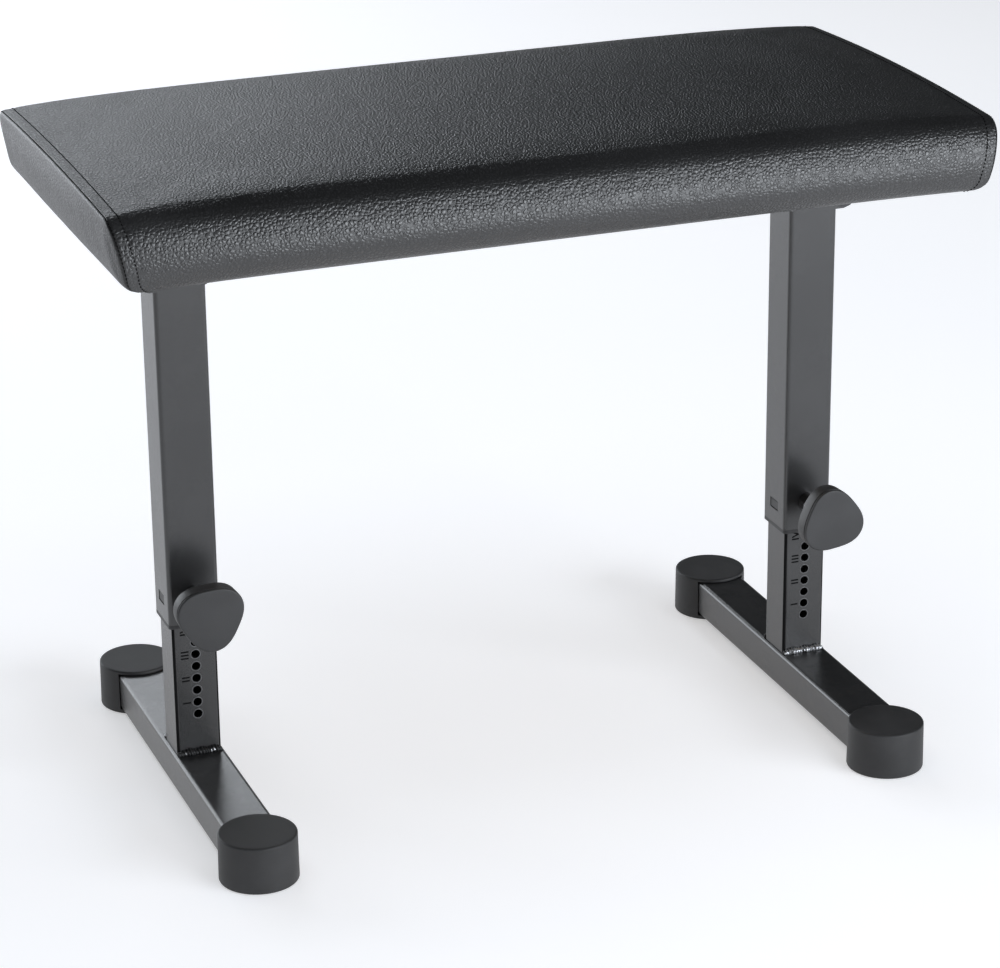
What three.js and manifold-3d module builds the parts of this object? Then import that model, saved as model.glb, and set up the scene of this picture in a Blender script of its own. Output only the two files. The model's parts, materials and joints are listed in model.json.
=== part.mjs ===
// Folding keyboard bench: an upholstered seat on two telescopic legs that fold in under it.
//
// Millimetres, +Z up. The origin is on the floor, midway between the four feet.
// +X runs along the seat and the height knobs face -Y. Inside a leg, x is counted
// from the middle of its upright, and "inward" points to the other leg.

import * as THREE from 'three';
import { mergeVertices } from 'three/addons/utils/BufferGeometryUtils.js';
import Module from 'manifold-3d';

const wasm = await Module();
wasm.setup();

// Whole bench
const seatHeight = 520;
const legInset = 85;
const seatBehindLegs = 8;
const footSpacing = 338;

// Clearances
const fixedGap = 0.3;
const runningGap = 0.2;
const boltClearance = 0.3;
const pilotClearance = 0.5;
const overrun = 5;

// Cushion: its outer form, and the cover and board that it is made of
const cushionThickness = 64;
const cushionLength = 684;
const cushionDepth = 356;
const endDrawIn = 11;
const endTaper = 6;
const sidePullIn = 11;
const crownAcross = 3.5;
const crownAlong = 6.5;
const topRoll = 24;
const topRollAtEnds = 20;
const bottomRoll = 9;
const sideTurnAbove = THREE.MathUtils.degToRad(25);
const sideTurnBelow = THREE.MathUtils.degToRad(20);
const endBottomRoll = 10;
const endPanelBulge = 5;
const seamSetback = 2;
const seamWidth = 2.4;
const seamDepth = 0.7;
const coverThickness = 1.2;
const coverHem = 13;
const coverToPlate = 7;
const boardThickness = 15;
const boardInset = 30;
const boardCornerRadius = 10;

// How the cushion is divided along its length, round its section and over its ends
const cushionStations = 6;
const endSharpness = 6;
const crownSteps = 3;
const rollSteps = 3;
const sideSteps = 5;
const outerDomeShares = [0.985, 0.9, 0.7, 0.35];
const innerDomeShares = [0.9, 0.5];

// Square tubes of a leg, and the bush and glide between them
const tubeWidth = 35;
const tubeWall = 2;
const tubeCornerRadius = 2.5;
const sleeveWall = 1.5;
const sleeveCornerRadius = 3;
const sleeveTopChamfer = 8;
const sleeveBelowPlate = 5.2;
const bushWall = 0.6;
const bushFlange = 2.8;
const bushLength = 44;
const bushTabHeight = 6.7;
const bushTabWidth = 12.4;
const bushTabRecess = 0.3;
const windowMargin = 0.8;
const windowAboveMouth = 16.5;
const glideFlange = 4;
const glidePlug = 15;

// Row of holes in an inner tube, with a numeral pressed beside every second one
const holeCount = 19;
const holePitch = 10;
const lowestHoleAboveBar = 33;
const tubeAboveHoles = 63;
const holeNumerals = ['I', 'II', 'III', 'IV', 'V', 'VI', 'VII', 'VIII', 'IX'];
const markLength = 6.2;
const markStroke = 1.3;
const markPitch = 2.7;
const markDepth = 0.5;
const markOffset = 8.5;

// Foot bar and feet
const barWidth = 40;
const barHeight = 30;
const barWall = 2;
const barCornerRadius = 3;
const barEndToFootCentre = 4;
const footDiameter = 60;
const footFloor = 3.4;
const footRoof = 2.4;
const footEdgeRadius = 1.5;
const footSocketMargin = 0.6;

// Height knob, its screw and the boss that the screw runs in; the pilot sits in one of the holes
const pinnedHole = 10;
const knobAboveMouth = 23;
const screwDiameter = 8;
const pilotDiameter = 6;
const pilotReach = 4.3;
const bossDiameter = 16;
const bossLength = 11;
const washerDiameter = 18;
const washerThickness = 1.5;
const knobReach = 50;
const knobRadius = 25.2;
const knobLobe = 2.2;
const knobLobeCount = 3;
const knobWall = 13;
const knobGroove = 0.8;
const knobGrooveDepth = 1.6;
const knobCapThickness = 2.4;
const knobCapBevel = 1.2;
const knobHubDiameter = 24;
const knobHubTipDiameter = 20;
const knobFrontWall = 2;
const leftKnobTurn = THREE.MathUtils.degToRad(34);
const rightKnobTurn = THREE.MathUtils.degToRad(-22);

// Hinge bracket: a plate under the board and two cheeks, with the pivot and the stop pin through them
const plateThickness = 3;
const plateDepth = 84;
const plateRim = 6;
const plateTail = 20;
const plateCornerRadius = 6;
const cheekThickness = 3;
const cheekClearance = 0.4;
const cheekRim = 3.7;
const cheekBeyondPivot = 12;
const cheekCornerRadius = 8;
const pivotInset = 10;
const pivotBelowPlate = 22.2;
const pivotBolt = 8;
const pivotHeadDiameter = 13;
const pivotHeadHeight = 5;
const pivotNutAcross = 13;
const pivotNutHeight = 7;
const pivotThreadEnd = 1.5;
const spacerWall = 1.7;
const stopPinDiameter = 8;
const stopPinBelowPivot = 13;
const stopHeadDiameter = 12;
const stopHeadHeight = 2.4;

// Screws that hold a bracket to the board
const woodScrewDiameter = 5;
const woodScrewLength = 12;
const woodScrewHeadDiameter = 10;
const woodScrewHeadHeight = 3;
const woodScrewInset = 9;

// Lock screw that clamps a leg upright, on the back cheek
const lockDiameter = 6;
const lockOutset = 8;
const lockBelowPivot = 12;
const lockNutAcross = 10;
const lockNutHeight = 5;
const lockWasherDiameter = 12;
const lockWasherThickness = 1.2;
const lockGripRadius = 11.4;
const lockGripLobe = 1.4;
const lockGripLobeCount = 5;
const lockGripHeight = 13;
const lockGripFloor = 4;

// Facets of round and bent forms
const hexagon = 6;
const coarse = 12;
const medium = 16;
const fine = 36;
const bend = 2;
const slightBend = 1;

// Materials
const finish = (color, roughness, metalness) => (
  new THREE.MeshStandardMaterial({ color, roughness, metalness })
);
const leatherette = finish(0x232326, 0.45, 0);
const upholsteryFoam = finish(0xd9d3c2, 0.95, 0);
const plywood = finish(0x8f7350, 0.8, 0);
const blackSteel = finish(0x1f2023, 0.5, 0.3);
const zincSteel = finish(0xb9bcc0, 0.35, 0.9);
const blackPlastic = finish(0x2d2e30, 0.6, 0);
const blackRubber = finish(0x303133, 0.8, 0);

// Cushion and board, worked out from the sizes above
const legSpacing = cushionLength - 2 * legInset;
const cushionLengthBelow = cushionLength - 2 * endDrawIn;
const cushionDepthAtEnds = cushionDepth - 2 * endTaper;
const cushionBottom = seatHeight - cushionThickness;
const endSeamTop = seatHeight - crownAlong - crownAcross;
const endSlope = endDrawIn / (endSeamTop - cushionBottom);
const boardDepth = cushionDepth - 2 * boardInset;
const boardBottom = cushionBottom + coverThickness + fixedGap;
const boardTop = boardBottom + boardThickness;

// Tubes and foot bar
const barMiddle = footFloor + footSocketMargin + barHeight / 2;
const barTop = barMiddle + barHeight / 2;
const barLength = footSpacing - 2 * barEndToFootCentre;
const footHeight = barTop + footSocketMargin + footRoof;
const holeDiameter = pilotDiameter + 2 * pilotClearance;
const lowestHole = barTop + lowestHoleAboveBar;
const tubeTop = lowestHole + (holeCount - 1) * holePitch + tubeAboveHoles;
const tubeFace = tubeWidth / 2;
const bushBore = tubeWidth + 2 * runningGap;
const bushWidth = bushBore + 2 * bushWall;
const sleeveBore = bushWidth + 2 * runningGap;
const sleeveWidth = sleeveBore + 2 * sleeveWall;
const sleeveFace = sleeveWidth / 2;
const windowHeight = bushTabHeight + 2 * windowMargin;
const windowWidth = bushTabWidth + 2 * windowMargin;

// Height knob
const knobHeight = lowestHole + pinnedHole * holePitch;
const sleeveBottom = knobHeight - knobAboveMouth;
const windowMiddle = sleeveBottom + windowAboveMouth;
const knobFace = -(sleeveFace + knobReach);
const capBack = knobFace + knobCapThickness;
const knobFront = capBack + knobGroove;
const knobBack = knobFront + knobWall;
const bossFront = -(sleeveFace + fixedGap + bossLength);
const washerFront = bossFront - fixedGap - washerThickness;

// Hinge
const plateTop = boardBottom - fixedGap;
const plateBottom = plateTop - plateThickness;
const sleeveTop = plateBottom - sleeveBelowPlate;
const pivotHeight = plateBottom - pivotBelowPlate;
const spacerDiameter = pivotBolt + 2 * boltClearance + 2 * spacerWall;
const cheekInside = sleeveFace + cheekClearance;
const cheekOutside = cheekInside + cheekThickness;
const stopPinHeight = pivotHeight - stopPinBelowPivot;
const stopPinOutset = sleeveFace + fixedGap + stopPinDiameter / 2;
const cheekBottom = stopPinHeight - stopPinDiameter / 2 - cheekRim;
const cheekOuterReach = stopPinOutset + stopPinDiameter / 2 + cheekRim;
const cheekInnerReach = pivotInset + cheekBeyondPivot;
const plateOuterReach = cheekOuterReach + plateRim;
const plateInnerReach = cheekInnerReach + plateTail;
const plateLength = plateOuterReach + plateInnerReach;

// Lock screw
const lockHeight = pivotHeight - lockBelowPivot;
const lockNutBack = cheekOutside + fixedGap + lockNutHeight;
const lockWasherBack = lockNutBack + fixedGap + lockWasherThickness;
const lockGripStart = lockWasherBack + fixedGap;
const lockScrewEnd = lockGripStart + lockGripHeight - lockGripFloor;

// Joining and cutting of closed solids
function solid(geometry) {
  const bare = geometry.clone();
  bare.deleteAttribute('normal');
  bare.deleteAttribute('uv');
  const merged = mergeVertices(bare);
  const index = merged.index.array;
  return new wasm.Manifold(new wasm.Mesh({
    numProp: 3,
    vertProperties: new Float32Array(merged.attributes.position.array),
    triVerts: new Uint32Array(index),
  }));
}

function fromSolid(body) {
  const mesh = body.getMesh();
  const geometry = new THREE.BufferGeometry();
  geometry.setAttribute('position', new THREE.BufferAttribute(mesh.vertProperties, 3));
  geometry.setIndex(new THREE.BufferAttribute(mesh.triVerts, 1));
  geometry.computeVertexNormals();
  return geometry;
}

function join(first, ...others) {
  return fromSolid(others.reduce((body, other) => body.add(solid(other)), solid(first)));
}

function cut(first, ...tools) {
  return fromSolid(tools.reduce((body, tool) => body.subtract(solid(tool)), solid(first)));
}

function common(first, other) {
  return fromSolid(solid(first).intersect(solid(other)));
}

// Plain forms, each between two places on its axis
function box(x0, x1, y0, y1, z0, z1) {
  return new THREE.BoxGeometry(x1 - x0, y1 - y0, z1 - z0)
    .translate((x0 + x1) / 2, (y0 + y1) / 2, (z0 + z1) / 2);
}

function rodY(diameter, x, z, y0, y1, facets = medium, diameterAtY1 = diameter) {
  return new THREE.CylinderGeometry(diameterAtY1 / 2, diameter / 2, y1 - y0, facets)
    .translate(x, (y0 + y1) / 2, z);
}

function rodZ(diameter, x, y, z0, z1, facets = medium) {
  return new THREE.CylinderGeometry(diameter / 2, diameter / 2, z1 - z0, facets)
    .rotateX(Math.PI / 2)
    .translate(x, y, (z0 + z1) / 2);
}

function roundedRectangle(width, height, radius, path = new THREE.Shape()) {
  const x = width / 2 - radius;
  const y = height / 2 - radius;
  path.absarc(x, y, radius, 0, Math.PI / 2);
  path.absarc(-x, y, radius, Math.PI / 2, Math.PI);
  path.absarc(-x, -y, radius, Math.PI, 1.5 * Math.PI);
  path.absarc(x, -y, radius, 1.5 * Math.PI, 2 * Math.PI);
  path.closePath();
  return path;
}

function upright(shape, z0, z1, curveSegments = bend) {
  return new THREE.ExtrudeGeometry(shape, { depth: z1 - z0, bevelEnabled: false, curveSegments })
    .translate(0, 0, z0);
}

// The inner corner of a bent wall, which is never quite sharp
const innerRadius = (radius, wall) => Math.max(radius - wall, wall / 2);

function squareTube(width, wall, radius, z0, z1) {
  const shape = roundedRectangle(width, width, radius);
  const bore = width - 2 * wall;
  shape.holes.push(roundedRectangle(bore, bore, innerRadius(radius, wall), new THREE.Path()));
  return upright(shape, z0, z1);
}

// An outline drawn in x and z, swept along y
function plate(shape, y0, y1, curveSegments = bend) {
  return new THREE.ExtrudeGeometry(shape, { depth: y1 - y0, bevelEnabled: false, curveSegments })
    .rotateX(Math.PI / 2)
    .translate(0, y1, 0);
}

// Rings of points joined one to the next, each four points split along the shorter diagonal;
// two middle points close the ends, and without them it is a closed hoop
function loft(rings, ...middles) {
  const count = rings[0].length;
  const rows = middles.length ? rings : [...rings, rings[0]];
  const points = [...rows.flat(), ...middles];
  const index = [];
  rows.slice(1).forEach((_, row) => {
    for (let k = 0; k < count; k += 1) {
      const a = row * count + k;
      const b = row * count + ((k + 1) % count);
      const c = b + count;
      const d = a + count;
      const split = points[a].distanceTo(points[c]) < points[b].distanceTo(points[d]);
      index.push(...(split ? [a, c, b, a, d, c] : [a, d, b, b, d, c]));
    }
  });
  const start = rows.length * count;
  const lastRow = start - count;
  middles.forEach((_, end) => {
    for (let k = 0; k < count; k += 1) {
      const next = (k + 1) % count;
      index.push(start + end, end ? lastRow + next : k, end ? lastRow + k : next);
    }
  });
  const geometry = new THREE.BufferGeometry().setFromPoints(points);
  geometry.setIndex(index);
  geometry.computeVertexNormals();
  return geometry;
}

// Cushion
const mix = (from, to, share) => from + (to - from) * share;
const sharesUpTo = (count) => Array.from({ length: count }, (_, k) => (k + 1) / count);

// Half of a cross-section, from the middle of the crown to the edge of the flat underside. The top
// roll, the swelling side and the bottom roll are three arcs, each begun at the turn the last ends
// at. Between the ends the side is pulled in below its widest level
function cushionHalfSection(endShare, inset) {
  const nearEnd = endShare ** endSharpness;
  const halfDepth = mix(cushionDepth, cushionDepthAtEnds, nearEnd) / 2;
  const crown = seatHeight - crownAlong * nearEnd;
  const shoulder = crown - crownAcross;
  const roll = mix(topRoll, topRollAtEnds, nearEnd);
  const sideTop = shoulder - roll * (1 - Math.sin(sideTurnAbove));
  const sideBottom = cushionBottom + bottomRoll * (1 - Math.sin(sideTurnBelow));
  const sideRadius = (sideTop - sideBottom) / (Math.sin(sideTurnAbove) + Math.sin(sideTurnBelow));
  const sideCentre = halfDepth - sideRadius;
  const flat = sideCentre + (sideRadius - roll) * Math.cos(sideTurnAbove);
  const foot = sideCentre + (sideRadius - bottomRoll) * Math.cos(sideTurnBelow);
  const sideMiddle = sideTop - sideRadius * Math.sin(sideTurnAbove);
  const pulled = (y, z) => {
    const below = Math.max(sideMiddle - z, 0) / (sideMiddle - cushionBottom);
    return [y - sidePullIn * (1 - nearEnd) * below ** 2, z];
  };
  const points = [[0, crown - inset]];
  sharesUpTo(crownSteps).forEach((share) => {
    points.push([flat * share, crown - crownAcross * share ** 2 - inset]);
  });
  const arc = (y, z, radius, from, to, steps) => sharesUpTo(steps).forEach((share) => {
    const turn = mix(from, to, share);
    const reach = radius - inset;
    points.push(pulled(y + reach * Math.cos(turn), z + reach * Math.sin(turn)));
  });
  const quarter = Math.PI / 2;
  arc(flat, shoulder - roll, roll, quarter, sideTurnAbove, rollSteps);
  arc(sideCentre, sideMiddle, sideRadius, sideTurnAbove, -sideTurnBelow, sideSteps);
  arc(foot, cushionBottom + bottomRoll, bottomRoll, -sideTurnBelow, -quarter, rollSteps);
  return points;
}

const mirrored = (half) => [...half, ...half.slice(1).reverse().map(([y, z]) => [-y, z])];

// How far out the end lies at a height: it leans in towards the underside and rolls under it
function endReach(z, inset) {
  const roll = endBottomRoll - inset;
  const under = THREE.MathUtils.clamp((cushionBottom + endBottomRoll - z) / roll, 0, 1);
  const leaning = cushionLength / 2 - (endSeamTop - z) * endSlope;
  return leaning - inset - roll * (1 - Math.sqrt(1 - under ** 2));
}

// A full ring at a share of the way to the end, moved back from there and squeezed in at a seam
function cushionRing(side, inset, endShare, setback = 0, squeeze = 0) {
  const plain = mirrored(cushionHalfSection(endShare, inset));
  const squeezed = mirrored(cushionHalfSection(endShare, inset + squeeze));
  return squeezed.map(([y, z], k) => {
    const reach = endReach(plain[k][1], inset) * endShare - setback;
    return new THREE.Vector3(side * reach, y, z);
  });
}

// A station is a share of the way to the end, then its setback and squeeze there
const stations = Array.from({ length: cushionStations }, (_, k) => (
  [Math.sin((k / cushionStations) * (Math.PI / 2))]
));
const besideSeam = [1, seamSetback + seamWidth / 2];

// The rings of the stations on both sides of the middle, in one row from left to right
function ringRow(inset, ...outerStations) {
  const half = (side) => [...stations, ...outerStations].map((station) => (
    cushionRing(side, inset, ...station)
  ));
  return [...half(-1).slice(1).reverse(), ...half(1)];
}

// An end panel: rings that shrink to its middle while they swell outwards as half an ellipse
function dome(side, inset, shares) {
  const rim = cushionRing(side, inset, 1);
  const middle = new THREE.Box3().setFromPoints(rim).getCenter(new THREE.Vector3());
  const swell = (point, share) => {
    point.x = side * (endReach(point.z, inset) + endPanelBulge * Math.sqrt(1 - share ** 2));
    return point;
  };
  const rings = shares.map((share) => (
    rim.map((point) => swell(middle.clone().lerp(point, share), share))
  ));
  return { rings, middle: swell(middle, 0) };
}

// The whole closed form, moved in by an inset
function cushionForm(inset) {
  const left = dome(-1, inset, innerDomeShares);
  const right = dome(1, inset, innerDomeShares);
  const rings = [...left.rings.reverse(), ...ringRow(inset, besideSeam, [1]), ...right.rings];
  return loft(rings, left.middle, right.middle);
}

// The main panel wraps under the board, with an opening that the bracket plates sit in
function coverMainPanel() {
  const outside = ringRow(0, besideSeam, [1, seamSetback, seamDepth]);
  const inside = ringRow(coverThickness, besideSeam, [1, seamSetback]);
  const halfOpeningX = legSpacing / 2 + plateOuterReach + coverToPlate;
  const halfOpeningY = boardDepth / 2 - coverHem;
  const opening = box(-halfOpeningX, halfOpeningX, -halfOpeningY, halfOpeningY,
    cushionBottom - overrun, boardBottom);
  return cut(loft([...outside, ...inside.reverse()]), opening);
}

// An end panel runs from its seam over the rim and swells over the end
function coverEndPanel(side) {
  const atSeam = seamSetback - runningGap;
  const outside = dome(side, 0, outerDomeShares);
  const inside = dome(side, coverThickness, innerDomeShares);
  const rings = [
    ...inside.rings.reverse(),
    cushionRing(side, coverThickness, 1),
    cushionRing(side, coverThickness, 1, atSeam),
    cushionRing(side, 0, 1, atSeam, seamDepth),
    cushionRing(side, 0, 1, seamSetback - seamWidth / 2),
    cushionRing(side, 0, 1, 0, seamDepth / 2),
    ...outside.rings,
  ];
  return side > 0
    ? loft(rings, inside.middle, outside.middle)
    : loft(rings.reverse(), outside.middle, inside.middle);
}

// The board ends where the bottom edge of the cushion begins to roll up
function boardOutline(growth) {
  const length = cushionLengthBelow - 2 * endBottomRoll + 2 * growth;
  return roundedRectangle(length, boardDepth + 2 * growth, boardCornerRadius + growth);
}

function seatBoard() {
  const pilots = [-1, 1].flatMap((side) => woodScrewPlaces(side).map(([x, y]) => rodZ(
    woodScrewDiameter + 2 * boltClearance,
    side * (legSpacing / 2) + x,
    y,
    boardBottom - overrun,
    plateBottom + woodScrewLength + overrun,
    coarse,
  )));
  const board = upright(boardOutline(0), boardBottom, boardTop).translate(0, seatBehindLegs, 0);
  return cut(board, ...pilots);
}

function seatFoam() {
  const boardRoom = upright(boardOutline(fixedGap), cushionBottom - overrun, boardTop + fixedGap);
  return cut(cushionForm(coverThickness + fixedGap), boardRoom);
}

// Hinge bracket, in a leg's own x: a plate under the board with two cheeks welded to it
const plateMiddle = (side) => (-side * (plateInnerReach - plateOuterReach)) / 2;

function woodScrewPlaces(side) {
  const reachX = plateLength / 2 - woodScrewInset;
  const reachY = plateDepth / 2 - woodScrewInset;
  return [-1, 1].flatMap((sx) => [-1, 1].map((sy) => [
    plateMiddle(side) + sx * reachX,
    sy * reachY,
  ]));
}

function cheekOutline(inward) {
  const shape = new THREE.Shape();
  const outer = -inward * cheekOuterReach;
  const inner = inward * cheekInnerReach;
  const high = plateTop - plateThickness / 2;
  shape.moveTo(outer, high);
  shape.lineTo(outer, cheekBottom + cheekCornerRadius);
  shape.quadraticCurveTo(outer, cheekBottom, outer + inward * cheekCornerRadius, cheekBottom);
  shape.lineTo(inner - inward * cheekCornerRadius, cheekBottom);
  shape.quadraticCurveTo(inner, cheekBottom, inner, cheekBottom + cheekCornerRadius);
  shape.lineTo(inner, high);
  shape.closePath();
  return shape;
}

function hingeBracket(side) {
  const inward = -side;
  const rectangle = roundedRectangle(plateLength, plateDepth, plateCornerRadius);
  const top = upright(rectangle, plateBottom, plateTop);
  top.translate(plateMiddle(side), 0, 0);
  const outline = cheekOutline(inward);
  const front = plate(outline, -cheekOutside, -cheekInside);
  const back = plate(outline, cheekInside, cheekOutside);
  const holes = woodScrewPlaces(side).map(([x, y]) => rodZ(
    woodScrewDiameter + 2 * boltClearance, x, y, plateBottom - overrun, plateTop + overrun, coarse,
  ));
  const through = (diameter, x, z, y0 = -cheekOutside) => rodY(
    diameter + 2 * boltClearance, x, z, y0 - overrun, cheekOutside + overrun,
  );
  return cut(
    join(top, front, back),
    ...holes,
    through(pivotBolt, inward * pivotInset, pivotHeight),
    through(stopPinDiameter, -inward * stopPinOutset, stopPinHeight),
    through(lockDiameter, -inward * lockOutset, lockHeight, cheekInside),
  );
}

function bracketScrew(x, y) {
  const headTop = plateBottom - fixedGap;
  const headBottom = headTop - woodScrewHeadHeight;
  const head = rodZ(woodScrewHeadDiameter, x, y, headBottom, headTop, coarse);
  const shank = rodZ(woodScrewDiameter, x, y, headTop - woodScrewHeadHeight / 2,
    plateBottom + woodScrewLength, coarse);
  return join(head, shank);
}

function pivotThroughBolt(x) {
  const headBack = -(cheekOutside + fixedGap);
  const end = cheekOutside + fixedGap + pivotNutHeight + pivotThreadEnd;
  const shank = rodY(pivotBolt, x, pivotHeight, headBack - pivotHeadHeight / 2, end);
  const dome = rodY(pivotHeadDiameter - pivotHeadHeight, x, pivotHeight,
    headBack - pivotHeadHeight, headBack, medium, pivotHeadDiameter);
  return join(shank, dome);
}

// A hexagon nut on the y axis, with a bore a little wider than its bolt
function nutY(across, bolt, x, z, y0, y1) {
  const corners = across / Math.cos(Math.PI / 6);
  return cut(rodY(corners, x, z, y0, y1, hexagon),
    rodY(bolt + 2 * boltClearance, x, z, y0 - overrun, y1 + overrun));
}

function pivotNut(x) {
  const start = cheekOutside + fixedGap;
  return nutY(pivotNutAcross, pivotBolt, x, pivotHeight, start, start + pivotNutHeight);
}

function stopPin(x) {
  const inner = cheekOutside + fixedGap;
  const outer = inner + stopHeadHeight;
  const shankReach = outer - stopHeadHeight / 2;
  const shank = rodY(stopPinDiameter, x, stopPinHeight, -shankReach, shankReach);
  const frontHead = rodY(stopHeadDiameter, x, stopPinHeight, -outer, -inner);
  const backHead = rodY(stopHeadDiameter, x, stopPinHeight, inner, outer);
  return join(shank, frontHead, backHead);
}

// Sleeve: the outer tube of a leg. A square on its corner takes the outer top edge off,
// so that it swings past the stop pin.
function sleeve(inward) {
  const tube = squareTube(sleeveWidth, sleeveWall, sleeveCornerRadius, sleeveBottom, sleeveTop);
  const pivotHole = rodY(spacerDiameter + 2 * boltClearance, inward * pivotInset, pivotHeight,
    -sleeveWidth, sleeveWidth);
  const knobHole = rodY(screwDiameter + 2 * boltClearance, 0, knobHeight, -sleeveWidth, 0);
  const windows = box(-sleeveWidth, sleeveWidth, -windowWidth / 2, windowWidth / 2,
    windowMiddle - windowHeight / 2, windowMiddle + windowHeight / 2);
  const halfCorner = sleeveTopChamfer * Math.SQRT1_2;
  const corner = box(-halfCorner, halfCorner, -sleeveWidth, sleeveWidth, -halfCorner, halfCorner);
  corner.rotateY(Math.PI / 4).translate(-inward * sleeveFace, 0, sleeveTop);
  return cut(tube, pivotHole, knobHole, windows, corner);
}

function pivotSpacer(x) {
  return cut(rodY(spacerDiameter, x, pivotHeight, -sleeveFace, sleeveFace),
    rodY(pivotBolt + 2 * boltClearance, x, pivotHeight, -sleeveWidth, sleeveWidth));
}

function clampBoss() {
  return cut(rodY(bossDiameter, 0, knobHeight, bossFront, bossFront + bossLength),
    rodY(screwDiameter + 2 * boltClearance, 0, knobHeight, bossFront - overrun, 0));
}

function guideBush() {
  const flangeTop = sleeveBottom - runningGap;
  const flangeBottom = flangeTop - bushFlange;
  const bushTop = flangeBottom + bushLength;
  const outerRadius = innerRadius(sleeveCornerRadius, sleeveWall);
  const flange = upright(roundedRectangle(sleeveWidth, sleeveWidth, sleeveCornerRadius),
    flangeBottom, flangeTop);
  const body = upright(roundedRectangle(bushWidth, bushWidth, outerRadius), flangeBottom, bushTop);
  const reach = sleeveFace - bushTabRecess;
  const tabs = box(-reach, reach, -bushTabWidth / 2, bushTabWidth / 2,
    windowMiddle - bushTabHeight / 2, windowMiddle + bushTabHeight / 2);
  const room = upright(roundedRectangle(bushBore, bushBore, tubeCornerRadius),
    flangeBottom - overrun, bushTop + overrun);
  const knobHole = rodY(screwDiameter + 2 * boltClearance, 0, knobHeight, -sleeveWidth, 0);
  return cut(join(flange, body, tabs), room, knobHole);
}

// Inner tube, with its row of holes and the pressed marks beside every second one
function stroke(x0, z0, x1, z1) {
  const long = Math.hypot(x1 - x0, z1 - z0) + markStroke;
  const bar = box(-long / 2, long / 2, -markDepth, markDepth, -markStroke / 2, markStroke / 2);
  bar.rotateY(-Math.atan2(z1 - z0, x1 - x0));
  return bar.translate((x0 + x1) / 2, -tubeFace, (z0 + z1) / 2);
}

// Numerals that read upwards: "I" is a level bar and "V" and "X" lie on their sides
function numeral(text, z) {
  const reach = (markLength - markStroke) / 2;
  const left = -markOffset - reach;
  const right = -markOffset + reach;
  const widths = { I: markPitch, V: 2 * markPitch, X: 2 * markPitch };
  const total = [...text].reduce((sum, letter) => sum + widths[letter], 0);
  let at = z - total / 2;
  return [...text].flatMap((letter) => {
    const low = at + markStroke / 2;
    const high = at + widths[letter] - markStroke / 2;
    const middle = at + widths[letter] / 2;
    at += widths[letter];
    if (letter === 'I') return [stroke(left, middle, right, middle)];
    if (letter === 'V') return [stroke(left, low, right, middle), stroke(left, high, right, middle)];
    return [stroke(left, low, right, high), stroke(left, high, right, low)];
  });
}

function innerTube() {
  const tube = squareTube(tubeWidth, tubeWall, tubeCornerRadius, barTop + fixedGap, tubeTop);
  const holes = Array.from({ length: holeCount }, (_, k) => rodY(
    holeDiameter, 0, lowestHole + k * holePitch, -tubeWidth, 0, coarse,
  ));
  const marks = holeNumerals.slice(0, Math.floor(holeCount / 2)).flatMap(
    (text, k) => numeral(text, lowestHole + (2 * k + 1) * holePitch),
  );
  return cut(tube, ...holes, ...marks);
}

function topGlide() {
  const flangeBottom = tubeTop + fixedGap;
  const outer = sleeveBore - 2 * fixedGap;
  const outerRadius = innerRadius(sleeveCornerRadius, sleeveWall);
  const plugWidth = tubeWidth - 2 * tubeWall - 2 * fixedGap;
  const plugRadius = innerRadius(tubeCornerRadius, tubeWall);
  const flange = upright(roundedRectangle(outer, outer, outerRadius), flangeBottom,
    flangeBottom + glideFlange);
  const plug = upright(roundedRectangle(plugWidth, plugWidth, plugRadius), tubeTop - glidePlug,
    flangeBottom + glideFlange / 2);
  return join(flange, plug);
}

function footBar() {
  const shape = roundedRectangle(barWidth, barHeight, barCornerRadius);
  shape.holes.push(roundedRectangle(barWidth - 2 * barWall, barHeight - 2 * barWall,
    innerRadius(barCornerRadius, barWall), new THREE.Path()));
  return plate(shape, -barLength / 2, barLength / 2).translate(0, 0, barMiddle);
}

// Rubber foot: a round cup with a socket that the end of the bar slides into
function foot(direction) {
  const radius = footDiameter / 2;
  const profile = new THREE.Path();
  profile.moveTo(0, 0);
  profile.lineTo(radius - footEdgeRadius / 2, 0);
  profile.lineTo(radius, footEdgeRadius / 2);
  profile.lineTo(radius, footHeight - footEdgeRadius);
  profile.absarc(radius - footEdgeRadius, footHeight - footEdgeRadius, footEdgeRadius, 0, Math.PI / 2);
  profile.lineTo(0, footHeight);
  const puck = new THREE.LatheGeometry(profile.getPoints(slightBend), fine).rotateX(Math.PI / 2);
  puck.translate(0, (direction * footSpacing) / 2, 0);
  const width = barWidth + 2 * footSocketMargin;
  const height = barHeight + 2 * footSocketMargin;
  const shape = roundedRectangle(width, height, barCornerRadius + footSocketMargin);
  const end = barLength / 2 + fixedGap;
  const mouth = footSpacing / 2 - footDiameter;
  const socket = plate(shape, Math.min(direction * mouth, direction * end),
    Math.max(direction * mouth, direction * end)).translate(0, 0, barMiddle);
  return cut(puck, socket);
}

// Lobed outline of a knob or a grip, drawn about its axis
function lobedOutline(radius, lobe, lobes, turn, facets) {
  const points = Array.from({ length: facets }, (_, k) => {
    const angle = (k / facets) * 2 * Math.PI;
    const reach = radius + lobe * Math.cos(lobes * (angle - turn));
    return new THREE.Vector2(reach * Math.cos(angle), reach * Math.sin(angle));
  });
  return new THREE.Shape(points);
}

function knobPlate(turn, inset, y0, y1) {
  return plate(lobedOutline(knobRadius - inset, knobLobe, knobLobeCount, turn, fine), y0, y1)
    .translate(0, 0, knobHeight);
}

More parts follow.
